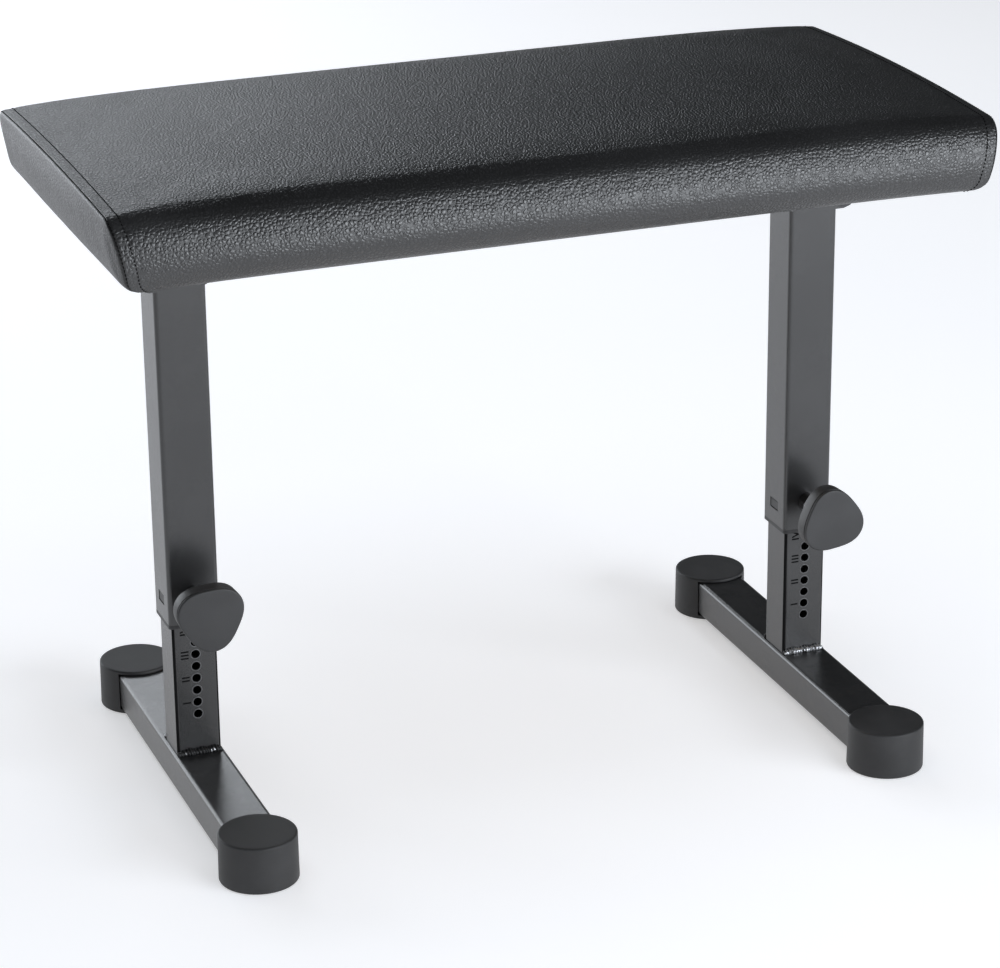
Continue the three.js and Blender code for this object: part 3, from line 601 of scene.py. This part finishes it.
def columnPlaces(shares):
    # place of each column round a section: its stretch's number plus its share of that stretch
    stretches = [index + np.linspace(0, 1, count, endpoint=(key == "crown"))
                 for index, (key, count) in enumerate(shares.items())]
    half = np.concatenate(stretches)
    return np.concatenate([half, 2 * len(shares) - half[-2::-1]])


def hermiteWeights(placesFrom, placesTo):
    # weights of a smooth curve through given places: cubic pieces that meet with the neighbours' slope
    count = len(placesFrom)
    values = np.eye(count)
    slopes = np.gradient(values, placesFrom, axis=0)
    first = np.clip(np.searchsorted(placesFrom, placesTo, side="right") - 1, 0, count - 2)
    width = (placesFrom[first + 1] - placesFrom[first])[:, None]
    t = (placesTo - placesFrom[first])[:, None] / width
    return ((2 * t ** 3 - 3 * t ** 2 + 1) * values[first] + (t ** 3 - 2 * t ** 2 + t) * width * slopes[first]
            + (3 * t ** 2 - 2 * t ** 3) * values[first + 1] + (t ** 3 - t ** 2) * width * slopes[first + 1])


def coarseForm(settings):
    # rows of closed rings from the left end over the seat to the right end
    rowShare = 1 - np.linspace(0, 1, settings["rowsPerHalf"]) ** 1.25
    endShare = np.concatenate([-rowShare, rowShare[-2::-1]])
    distance = (1 - np.abs(endShare)) * cushion["halfLength"]
    y, z = cushionSection(endShare, distance + cushion["hem"], cushion, settings["shares"])
    farthest, rolled = endReach(z, cushion)
    nearSeam = np.clip(1 - distance / (3 * cushion["endRoll"]), 0, 1)[:, None]
    x = endShare[:, None] * farthest - np.sign(endShare)[:, None] * rolled * nearSeam
    main = np.stack([x, y, z], axis=-1)
    shrink = np.array(settings["endShares"])[:, None]
    middleZ = (z[0].max() + z[0].min()) / 2
    endY, endZ = y[0] * shrink, middleZ + (z[0] - middleZ) * shrink
    inward = (1 - shrink) * np.hypot(y[0], z[0] - middleZ)
    farthest, rolled = endReach(endZ, cushion)
    end = np.stack([farthest - rolled + endDome(inward), endY, endZ], axis=-1)
    fromSeam = np.concatenate([inward[::-1], np.broadcast_to(distance[:, None], y.shape), inward])
    return np.concatenate([(end * (-1, 1, 1))[::-1], main, end]), endShare, fromSeam


def gridNormals(points, outFrom):
    # normals of a grid, turned to point away from a given place
    normals = unit(np.cross(np.gradient(points, axis=0), np.gradient(points, axis=1)))
    away = np.einsum("ijk,ijk->ij", normals, points - outFrom).sum()
    return normals if away > 0 else -normals


seatMiddle = np.array([0.0, 0.0, (mainLow[2] + mainHigh[2]) / 2])


def swellFilling(settings):
    # how far the filled cover stands off the plain form, along its normals, at each coarse point
    plain, endShare, fromSeam = coarseForm(settings)
    rows, columns = plain.shape[:2]
    onEnd = np.ones((rows, 1))
    onEnd[len(settings["endShares"]):-len(settings["endShares"])] = 0
    normals = gridNormals(plain, seatMiddle)
    fromHem = plain[..., 2] - cushion["bottom"]
    held = (fromSeam < 0.1 * millimetre) | (fromHem < 1 * millimetre)
    fromEdge = mix(settings["slackFrom"], cushion["swellBy"], onEnd)
    free = ease(fromSeam, 0, fromEdge) * ease(fromHem, 0, settings["clearOfHem"])
    started = plain - normals * (settings["slack"] * free)[..., None]
    piece = gridPiece("filling", started, coverLeather, wrapColumns=True, capped=True, flip=True)
    pinned = piece.vertex_groups.new(name="held")
    pinned.add(np.flatnonzero(held.ravel()).tolist(), 1.0, "REPLACE")
    cloth = piece.modifiers.new("filling", "CLOTH")
    cloth.settings.vertex_group_mass = "held"
    cloth.settings.use_pressure = True
    cloth.settings.uniform_pressure_force = settings["pressure"]
    cloth.settings.effector_weights.gravity = 0
    for stretch in ("tension_stiffness", "compression_stiffness", "shear_stiffness"):
        setattr(cloth.settings, stretch, settings["stiffness"])
    cloth.collision_settings.use_collision = False
    for step in range(1, settings["frames"] + 1):
        bpy.context.scene.frame_set(step)
    applyModifiers(piece)
    swollen = np.empty(len(piece.data.vertices) * 3)
    piece.data.vertices.foreach_get("co", swollen)
    bpy.data.objects.remove(piece)
    bpy.context.scene.frame_set(1)
    moved = swollen.reshape(-1, 3)[:rows * columns].reshape(plain.shape)
    offset = np.einsum("ijk,ijk->ij", moved - started, normals)
    offset = np.where(offset > 0, settings["cap"] * np.tanh(offset / settings["cap"]),
                      settings["draw"] * np.tanh(offset / settings["draw"])) - settings["slack"] * free
    offset = np.where(held, 0, offset)
    for _ in range(settings["smoothings"]):
        # each pass moves a point halfway to the mean of its neighbours
        padded = np.pad(offset, 1, mode="edge")
        around = padded[:-2, 1:-1] + padded[2:, 1:-1] + padded[1:-1, :-2] + padded[1:-1, 2:]
        offset = np.where(held, 0, (offset + around / 4) / 2)
    spread = np.percentile(offset, (0, 10, 50, 90, 100)) / millimetre
    print("filling swollen: offsets", np.round(spread, 2), "mm")
    return plain, endShare, offset


seam = {
    "valley": 0.9 * millimetre,        # both panels' edges turn in by this at the seam
    "rollWidth": 1.8 * millimetre,
    "grooveWidth": 0.45 * millimetre,  # dip of the topstitch line
    "grooveDepth": 0.22 * millimetre,
    "strip": 0.05 * millimetre,        # the strip between seam and topstitch stands up a little
    "puff": 0.15 * millimetre,         # the panel swells beyond the topstitch
    "pucker": 0.12 * millimetre,
    "puckerRate": 290,                 # radians to a metre along the seam
    "driftRate": 83,
    "drift": 1.7,
}


def turnedEdge(distance):
    # quarter round by which a panel's edge turns in at the seam
    edge = np.clip(1 - distance / seam["rollWidth"], 0, 1)
    return -seam["valley"] * (1 - np.sqrt(1 - edge ** 2))


coarsePoints, coarseShares, coarseOffset = swellFilling(filling)


def mainPanelPoints(settings):
    # rings close together by the end seams and wide apart in the middle, each the section at its place
    reach = settings["halfLength"] - seam["valley"]
    closeBy = np.linspace(0, settings["seamZone"], settings["seamRings"])
    spread = np.linspace(0, 1, settings["middleRings"])[1:] ** 1.35
    further = closeBy[-1] + (reach - closeBy[-1]) * spread
    distance = np.concatenate([closeBy, further])
    share = 1 - distance / reach
    share[-1] = 0
    endShare = np.concatenate([-share, share[-2::-1]])
    distance = np.concatenate([distance, distance[-2::-1]])
    y, z = cushionSection(endShare, distance, settings)
    farthest, rolled = endReach(z, settings)
    nearSeam = np.clip(1 - distance / (3 * settings["endRoll"]), 0, 1)[:, None]
    x = endShare[:, None] * (farthest - seam["valley"]) - np.sign(endShare)[:, None] * rolled * nearSeam
    return np.stack([x, y + settings["middleY"], z], axis=-1), distance, endShare


def seamOffset(distance, along):
    # height over the plain form: the edge rolls in at the seam, dips at the topstitch and swells beyond it
    line = cushion["stitchLine"]
    dip = -seam["grooveDepth"] * np.exp(-((distance - line) / seam["grooveWidth"]) ** 2)
    strip = seam["strip"] * np.exp(-((distance - line / 2) / (0.35 * line)) ** 2)
    puff = seam["puff"] * ease(distance, line, 2.2 * line) * (1 - ease(distance, 3 * line, 9 * line))
    waves = np.sin(along * seam["puckerRate"] + seam["drift"] * np.sin(along * seam["driftRate"]))
    waves = waves * np.exp(-((distance - 1.25 * line) / (0.7 * line)) ** 2)
    return turnedEdge(distance) + dip + strip + puff + seam["pucker"] * waves


def thicken(piece, thickness):
    # gives a sheet its thickness on the inner side
    wall = piece.modifiers.new("thickness", "SOLIDIFY")
    wall.thickness = thickness
    wall.offset = -1
    applyModifiers(piece)


def makeMainPanel():
    points, distance, endShare = mainPanelPoints(cushion)
    steps = np.linalg.norm(np.diff(points, axis=1), axis=-1)
    along = np.concatenate([np.zeros((len(points), 1)), np.cumsum(steps, axis=1)], axis=1)
    normals = gridNormals(points, seatMiddle)
    ends = len(filling["endShares"])
    rowWeights = hermiteWeights(coarseShares, endShare)
    columnWeights = hermiteWeights(columnPlaces(filling["shares"]), columnPlaces(fineShares))
    swelling = rowWeights @ coarseOffset[ends:-ends] @ columnWeights.T
    points = points + normals * (seamOffset(distance[:, None], along) + swelling)[..., None]
    piece = gridPiece("seat_main_cover", points, coverLeather, flip=True)
    thicken(piece, cushion["thickness"])
    return piece, points, normals, distance


def makeEndPanel(side, sign):
    # rim rounds from the back's foot over the top to the front's foot and back along the bottom; each
    # point moves straight in to a middle line, and the panel bulges by the distance from the rim
    y, z = cushionSection(np.array([1.0]), np.array([0.0]), cushion)
    y, z = y[0, aboveHem], z[0, aboveHem]
    inner = y.max() - cushion["middleLine"]
    middleZ = (z.max() + z.min()) / 2
    onTop = z > cushion["top"] - cushion["endDrop"] - cushion["crown"] - 1e-9
    targetY = np.where(onTop, np.clip(y, -inner, inner), np.sign(y) * inner)
    crownY = y[onTop]
    foot = np.abs(y[0])
    bottomY = (crownY * foot / crownY.max())[::-1][1:-1]
    bottomTarget = np.clip(crownY[::-1][1:-1], -inner, inner)
    rimY = np.concatenate([y, bottomY])
    rimZ = np.concatenate([z, np.full(len(bottomY), cushion["bottom"])])
    targetY = np.concatenate([targetY, bottomTarget])
    isBottom = np.concatenate([np.zeros(len(y)), np.ones(len(bottomY))])
    # rows: hem or tuck first, then the edge close together, then out to the middle line
    spanY, spanZ = targetY - rimY, middleZ - rimZ
    span = np.hypot(spanY, spanZ)
    closeBy = np.linspace(0, cushion["rimZone"], cushion["rimRows"])[:, None]
    further = np.linspace(0, 1, cushion["panelRows"])[1:, None]
    start = seam["valley"] * (1 - isBottom)
    inward = np.concatenate([start + closeBy, start + closeBy[-1] + (span - start - closeBy[-1]) * further])
    share = inward / span
    gridY, gridZ = rimY + spanY * share, rimZ + spanZ * share
    farthest, rolled = endReach(gridZ, cushion)
    ends = len(filling["endShares"])
    edge = turnedEdge(inward - start) * (1 - isBottom)
    apart = (np.subtract.outer(gridY, coarsePoints[-ends:, :, 1]) ** 2
             + np.subtract.outer(gridZ, coarsePoints[-ends:, :, 2]) ** 2)
    nearby = np.exp(-apart / (2 * filling["reach"] ** 2))
    swelling = (nearby * coarseOffset[-ends:]).sum((2, 3)) / np.maximum(nearby.sum((2, 3)), 1e-9)
    x = farthest - rolled + endDome(inward - start) + edge + swelling * ease(inward, 0, filling["clearOfRim"])
    tuck = np.linspace(1, 0, cushion["tuckRows"], endpoint=False)[:, None]
    tuckX = x[0] - tuck * mix(cushion["tuckIn"], cushion["hem"], isBottom)
    tuckY = gridY[0] * (1 - tuck * isBottom * cushion["hem"] / foot)
    tuckZ = gridZ[0] + 0 * tuck
    rows = ((tuckX, x), (tuckY + cushion["middleY"], gridY + cushion["middleY"]), (tuckZ, gridZ))
    grid = np.stack([np.concatenate(pair) for pair in rows], -1)
    grid[..., 0] *= sign
    piece = gridPiece(f"seat_{side}_end_cover", grid, endLeather, wrapColumns=True, flip=(sign < 0))
    shell = bmesh.new()
    shell.from_mesh(piece.data)
    bmesh.ops.remove_doubles(shell, verts=shell.verts, dist=0.02 * millimetre)
    bmesh.ops.recalc_face_normals(shell, faces=shell.faces)
    shell.to_mesh(piece.data)
    shell.free()
    thicken(piece, cushion["thickness"])
    return piece


# Stitches
stitch = {"pitch": 3.0 * millimetre, "length": 2.3 * millimetre, "radius": 0.42 * millimetre,
          "sag": 0.45 * millimetre, "lift": 0.25 * millimetre}
seamStitch = {"pitch": 3.0 * millimetre, "length": 2.5 * millimetre, "radius": 0.4 * millimetre,
              "sag": 0.3 * millimetre, "lift": 0.2 * millimetre}


def capsule(length, radius, sag, rings=6, around=6):
    # a short thread along x whose ends thin out and sink: the radius falls with the fourth power of the
    # way out, and the height with its square
    t = np.linspace(-1, 1, rings)[:, None]
    turn = np.linspace(0, 2 * math.pi, around, endpoint=False)[None]
    thick = radius * np.sqrt(np.maximum(1 - t ** 4, 0.06))
    x = t * length / 2 + 0 * turn
    y = thick * np.cos(turn)
    z = thick * np.sin(turn) - sag * t ** 2
    shape = np.stack([x, y, z], -1).reshape(-1, 3)
    faces = gridFaces(rings, around, wrapColumns=True)[:, ::-1]
    last = (rings - 1) * around
    start = np.array([[3, 2, 1, 0], [5, 4, 3, 0]])
    return shape, np.concatenate([faces, start, last + start[:, ::-1]])


def alongLine(line, normals, pitch):
    # places at even steps along a line of points, with the direction and normal there
    steps = np.concatenate([[0], np.cumsum(np.linalg.norm(np.diff(line, axis=0), axis=1))])
    wanted = np.arange(pitch / 2, steps[-1], pitch)
    places = np.stack([np.interp(wanted, steps, line[:, axis]) for axis in range(3)], -1)
    ahead = np.stack([np.interp(wanted + pitch / 4, steps, line[:, axis]) for axis in range(3)], -1)
    behind = np.stack([np.interp(wanted - pitch / 4, steps, line[:, axis]) for axis in range(3)], -1)
    up = unit(np.stack([np.interp(wanted, steps, normals[:, axis]) for axis in range(3)], -1))
    forward = unit(ahead - behind)
    return places, np.stack([forward, np.cross(up, forward), up], axis=1)


def makeStitches(name, line, normals, settings):
    shape, faces = capsule(settings["length"], settings["radius"], settings["sag"])
    places, axes = alongLine(line, normals, settings["pitch"])
    places = places + axes[:, 2] * settings["lift"]
    piece = copiesPiece(name, shape, faces, places, axes, blackThread)
    dressPiece(piece, "seat", "seat_cover")


mainPanel, mainPoints, mainNormals, mainDistance = makeMainPanel()
dressPiece(mainPanel, "seat", "seat_cover", "cover_main_panel", "seat_foam")
for side, sign in sides.items():
    endPanel = makeEndPanel(side, sign)
    dressPiece(endPanel, "seat", "seat_end_cover", f"cover_{side}_end_panel")
    ringOrder = range(len(mainPoints)) if sign < 0 else range(len(mainPoints) - 1, -1, -1)
    fromLine = np.abs(mainDistance - cushion["stitchLine"])
    nearest = min(ringOrder, key=lambda ring: fromLine[ring] - 1e-6 * ring * sign)
    makeStitches(f"{side}_topstitch", mainPoints[nearest, aboveHem], mainNormals[nearest, aboveHem], stitch)
    seamRing = 0 if sign < 0 else -1
    seamUp = unit(mainNormals[seamRing, aboveHem] + np.array([sign, 0, 0]))
    makeStitches(f"{side}_seam_stitch", mainPoints[seamRing, aboveHem], seamUp, seamStitch)
print("cushion and stitches made")


# Knobs
knob = {
    "radius": 25.2 * millimetre,
    "lobe": 2.2 * millimetre,
    "lobes": 3,
    "turns": {"left": math.radians(34), "right": math.radians(-22)},
    "faceDome": 0.35 * millimetre,
    "faceEdge": 1.5 * millimetre,
    "smallEdge": 0.4 * millimetre,
    "backEdge": 1.4 * millimetre,
    "groove": 2.4 * millimetre,
    "grooveWidth": 1.1 * millimetre,
    "wall": 13 * millimetre,
    "skirt": 2.4 * millimetre,
    "frontWall": 2.4 * millimetre,
    "draft": 0.6 * millimetre,
    "hubRoot": 12 * millimetre,
    "hubTip": 10 * millimetre,
    "tipEdge": 0.8 * millimetre,
    "innerEdge": 1 * millimetre,
    "bore": 4.25 * millimetre,
    "boreEdge": 0.3 * millimetre,
    "pointsAround": 144,
}


def arc(centreRadius, centreY, radius, start, stop, count=6):
    # stretch of a circle in the profile's plane, as lobe share, radius and place along the axis
    turn = np.radians(np.linspace(start, stop, count))
    return [(1.0, centreRadius + radius * math.sin(a), centreY - radius * math.cos(a)) for a in turn]


def lobedPoints(profile, axisX, axisZ, turnAngle, settings):
    # carries a profile round the knob's axis; the radius swells and sinks with three times the angle
    table = np.array(profile)
    around = np.linspace(0, 2 * math.pi, settings["pointsAround"], endpoint=False)
    swell = settings["lobe"] * np.cos(settings["lobes"] * (around - turnAngle))
    radius = table[:, 1:2] + table[:, 0:1] * swell[None]
    x = axisX + radius * np.cos(around)
    z = axisZ + radius * np.sin(around)
    y = table[:, 2:3] + 0 * around[None]
    return np.stack([x, y, z], -1)


def makeKnob(side):
    capFront, capBack = (corner[1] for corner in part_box(f"{side}_knob_cap"))
    bodyFront, hubBack = (corner[1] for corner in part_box(f"{side}_knob_body"))
    screwLow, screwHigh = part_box(f"{side}_knob_screw")
    axisX, axisZ = ((screwLow[axis] + screwHigh[axis]) / 2 for axis in (0, 2))
    angle = knob["turns"][side]
    radius, edge, small = knob["radius"], knob["faceEdge"], knob["smallEdge"]
    faceRadius = radius - edge
    face = [(share ** 2, faceRadius * share, capFront + knob["faceDome"] * share ** 2)
            for share in np.linspace(0.04, 1, 14)]
    capEdge = arc(faceRadius, capFront + knob["faceDome"] + edge, edge, 0, 90, 9)
    capFoot = arc(radius - small, capBack - small, small, 90, 180, 4)
    capUnder = [(share, (radius - 2 * small) * share, capBack) for share in (0.9, 0.5, 0.04)]
    cap = lobedPoints(face + capEdge[1:] + capFoot + capUnder, axisX, axisZ, angle, knob)
    capPiece = gridPiece(f"{side}_knob_face", cap, knobPlastic, wrapColumns=True, capped=True)
    dressPiece(capPiece, f"{side}_knob", "knob_plastic", f"{side}_knob_cap")

    wallFront = capBack + knob["grooveWidth"]
    wallBack = wallFront + knob["wall"]
    neck = radius - knob["groove"]
    outer = [(0.2, knob["bore"] + 2 * millimetre, bodyFront), (1.0, neck - 2 * millimetre, bodyFront),
             (1.0, neck, bodyFront + 0.1 * millimetre), (1.0, neck, wallFront - 0.05 * millimetre)]
    rim = arc(radius - small, wallFront + small, small, 0, 90, 4)
    backRadius = radius - knob["draft"] - knob["backEdge"]
    back = arc(backRadius, wallBack - knob["backEdge"], knob["backEdge"], 90, 180, 7)
    inside = radius - knob["skirt"]
    floor = wallFront + knob["frontWall"]
    inner, tip, mouth = knob["innerEdge"], knob["tipEdge"], knob["boreEdge"]
    hollow = [(1.0, inside, wallBack - 0.2 * millimetre), (1.0, inside, floor + inner),
              (1.0, inside - inner, floor), (0.0, knob["hubRoot"] + inner, floor),
              (0.0, knob["hubRoot"], floor + inner), (0.0, knob["hubTip"], hubBack - tip),
              (0.0, knob["hubTip"] - tip, hubBack), (0.0, knob["bore"], hubBack),
              (0.0, knob["bore"], bodyFront + mouth), (0.0, knob["bore"] + mouth, bodyFront)]
    body = lobedPoints(outer + rim + back + hollow, axisX, axisZ, angle, knob)
    bodyPiece = gridPiece(f"{side}_knob_grip", body, knobPlastic, wrapRows=True, wrapColumns=True)
    dressPiece(bodyPiece, f"{side}_knob", "knob_plastic", f"{side}_knob_body")


for side in sides:
    makeKnob(side)
print("knobs made")


# Feet
foot = {
    "edge": 1.6 * millimetre,
    "dish": 0.35 * millimetre,      # the top sinks a little towards its middle
    "draft": 0.4 * millimetre,
    "baseEdge": 0.9 * millimetre,
    "recess": 1.2 * millimetre,     # hollow in the underside inside the standing ring
    "ring": 6 * millimetre,
    "margin": 0.6 * millimetre,     # play round the bar's end
    "pointsAround": 128,
}


def makeFoot(side, place):
    low, high = (np.array(corner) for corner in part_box(f"{side}_{place}_foot"))
    centre = (low + high) / 2
    radius, top, bottom = (high[0] - low[0]) / 2, high[2], low[2]
    turn = np.radians(np.linspace(90, 0, 8))
    topRadius = radius - foot["draft"]
    topRows = [(share * (topRadius - foot["edge"]), top - foot["dish"] * (1 - share ** 2))
               for share in np.linspace(0.03, 1, 12)]
    edgeRows = [(topRadius - foot["edge"] * (1 - math.cos(a)), top - foot["edge"] * (1 - math.sin(a)))
                for a in turn[1:]]
    wall = [(mix(topRadius, radius, share), mix(top - foot["edge"], bottom + foot["baseEdge"], share))
            for share in (0.25, 0.5, 0.75, 1.0)]
    hollow = bottom + foot["recess"]
    base = [(radius - foot["baseEdge"] * 0.3, bottom + foot["baseEdge"] * 0.3),
            (radius - foot["baseEdge"], bottom), (radius - foot["ring"], bottom),
            (radius - foot["ring"] - foot["recess"], hollow), (0.5 * radius, hollow), (0.03 * radius, hollow)]
    profile = np.array(topRows + edgeRows + wall + base)
    around = np.linspace(0, 2 * math.pi, foot["pointsAround"], endpoint=False)
    x = centre[0] + profile[:, :1] * np.cos(around)
    y = centre[1] + profile[:, :1] * np.sin(around)
    z = profile[:, 1:] + 0 * around[None]
    piece = gridPiece(f"{side}_{place}_rubber_foot", np.stack([x, y, z], -1), blackRubber,
                      wrapColumns=True, capped=True, flip=True)
    cutSocket(piece, side)
    dressPiece(piece, f"{side}_lower_leg", "black_rubber", f"{side}_{place}_foot")


def cutSocket(piece, side):
    # cuts the bar's end with its play out of the foot
    low, high = (np.array(corner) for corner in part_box(f"{side}_foot_bar"))
    middle, size = (low + high) / 2, high - low + 2 * foot["margin"]
    block = bmesh.new()
    bmesh.ops.create_cube(block, size=1, matrix=Matrix.Translation(middle) @ Matrix.Diagonal((*size, 1)))
    cutterMesh = bpy.data.meshes.new("socketCutter")
    block.to_mesh(cutterMesh)
    block.free()
    cutter = bpy.data.objects.new("socketCutter", cutterMesh)
    bpy.context.collection.objects.link(cutter)
    cut = piece.modifiers.new("socket", "BOOLEAN")
    cut.operation = "DIFFERENCE"
    cut.solver = "EXACT"
    cut.object = cutter
    applyModifiers(piece)
    bpy.data.objects.remove(cutter)
    shadeSmooth(piece.data)
    piece.data.set_sharp_from_angle(angle=math.radians(38))


for side in sides:
    for place in ("front", "back"):
        makeFoot(side, place)
print("feet made")


# Hole rims and welds on the lower legs
rimSettings = {"count": 19, "pitch": 10 * millimetre, "lowest": 67 * millimetre,
               "radius": 3.8 * millimetre, "width": 0.45 * millimetre, "proud": 0.18 * millimetre,
               "pointsAround": 28, "pointsAcross": 6}
weld = {"up": 5.2 * millimetre, "out": 5.0 * millimetre, "ripple": 0.5 * millimetre,
        "pitch": 2.3 * millimetre, "overrun": 0.6 * millimetre, "root": 0.2 * millimetre,
        "pointsAlong": 90, "pointsAcross": 9}


def makeHoleRims(side):
    # each rim is a small ellipse carried round the hole, half of it sunk into the tube
    low, high = (np.array(corner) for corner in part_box(f"{side}_inner_tube"))
    middleX = (low[0] + high[0]) / 2
    around, across = rimSettings["pointsAround"], rimSettings["pointsAcross"]
    turn = np.linspace(0, 2 * math.pi, around, endpoint=False)[:, None]
    section = np.linspace(0, 2 * math.pi, across, endpoint=False)[None]
    out = rimSettings["radius"] + rimSettings["width"] * np.cos(section)
    height = rimSettings["proud"] * np.sin(section) + 0 * turn
    shape = np.stack([out * np.cos(turn), out * np.sin(turn), height], -1)
    heights = rimSettings["lowest"] + rimSettings["pitch"] * np.arange(rimSettings["count"])
    places = np.stack([np.full_like(heights, middleX), np.full_like(heights, low[1]), heights], -1)
    axes = np.broadcast_to(np.array([[1.0, 0, 0], [0, 0, 1.0], [0, -1.0, 0]]), (len(heights), 3, 3))
    faces = gridFaces(around, across, wrapRows=True, wrapColumns=True)
    piece = copiesPiece(f"{side}_hole_rims", shape.reshape(-1, 3), faces, places, axes, paintedRimHighlight)
    dressPiece(piece, f"{side}_lower_leg", "black_steel")


def makeWeld(name, side, outward, finish):
    # a fillet of overlapping ripples: its section runs from the tube's face out along the bar
    tubeLow, tubeHigh = (np.array(corner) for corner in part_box(f"{side}_inner_tube"))
    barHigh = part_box(f"{side}_foot_bar")[1]
    left, right = tubeLow[0] - weld["overrun"], tubeHigh[0] + weld["overrun"]
    faceY = tubeLow[1] if outward < 0 else tubeHigh[1]
    along = np.linspace(0, 1, weld["pointsAlong"])[:, None]
    ripples = math.pi * along * (right - left) / weld["pitch"] + 0.4 * np.sin(19 * along)
    swell = 0.72 + 0.28 * np.abs(np.sin(ripples))
    taper = np.sqrt(np.clip(1 - (2 * along - 1) ** 8, 0.02, 1))
    size = swell * taper * (1 + 0.10 * np.sin(23 * along + 1.3))
    angle = np.linspace(0, math.pi / 2, weld["pointsAcross"])[None]
    bow = 0.86 + 0.14 * np.sin(2 * angle)
    root = np.full_like(along, -weld["root"])
    outY = np.concatenate([root, weld["out"] * size * np.cos(angle) * bow], 1)
    upZ = np.concatenate([root, weld["up"] * size * np.sin(angle) * bow], 1)
    bend = np.sin(2 * np.linspace(0, math.pi, weld["pointsAcross"] + 1))[None]
    x = mix(left, right, along) + weld["ripple"] * bend
    points = np.stack([x, faceY + outward * outY, barHigh[2] + upZ], -1)
    piece = gridPiece(name, points, finish, wrapColumns=True, capped=True, flip=(outward > 0))
    dressPiece(piece, f"{side}_lower_leg", "black_steel")


for side in sides:
    makeHoleRims(side)
    makeWeld(f"{side}_front_weld", side, -1, brightWeld if side == "right" else paintedWeld)
    makeWeld(f"{side}_back_weld", side, 1, paintedWeld)
print("rims and welds made")


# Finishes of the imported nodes, by the record's material slots
slotFinishes = {
    "seat_cover": coverLeather,
    "seat_end_cover": endLeather,
    "foam": coverLeather,
    "plywood": plywood,
    "black_steel": powderCoat,
    "zinc_steel": zincSteel,
    "black_plastic": blackPlastic,
    "knob_plastic": knobPlastic,
    "black_rubber": blackRubber,
}
namedFinishes = {"inner_tube": tubePowder, "stop_pin": blackZinc, "pivot_bolt": blackZinc,
                 "pivot_nut": blackZinc}


def dressNodes():
    for part in frame["record"]["subparts"]:
        plainName = part["node"].split("_", 1)[1]
        finish = namedFinishes.get(plainName, slotFinishes[part["material_slot"]])
        node = frame["nodes"][part["node"]]
        node.data.materials.clear()
        node.data.materials.append(finish.material)


dressNodes()
print("nodes finished")
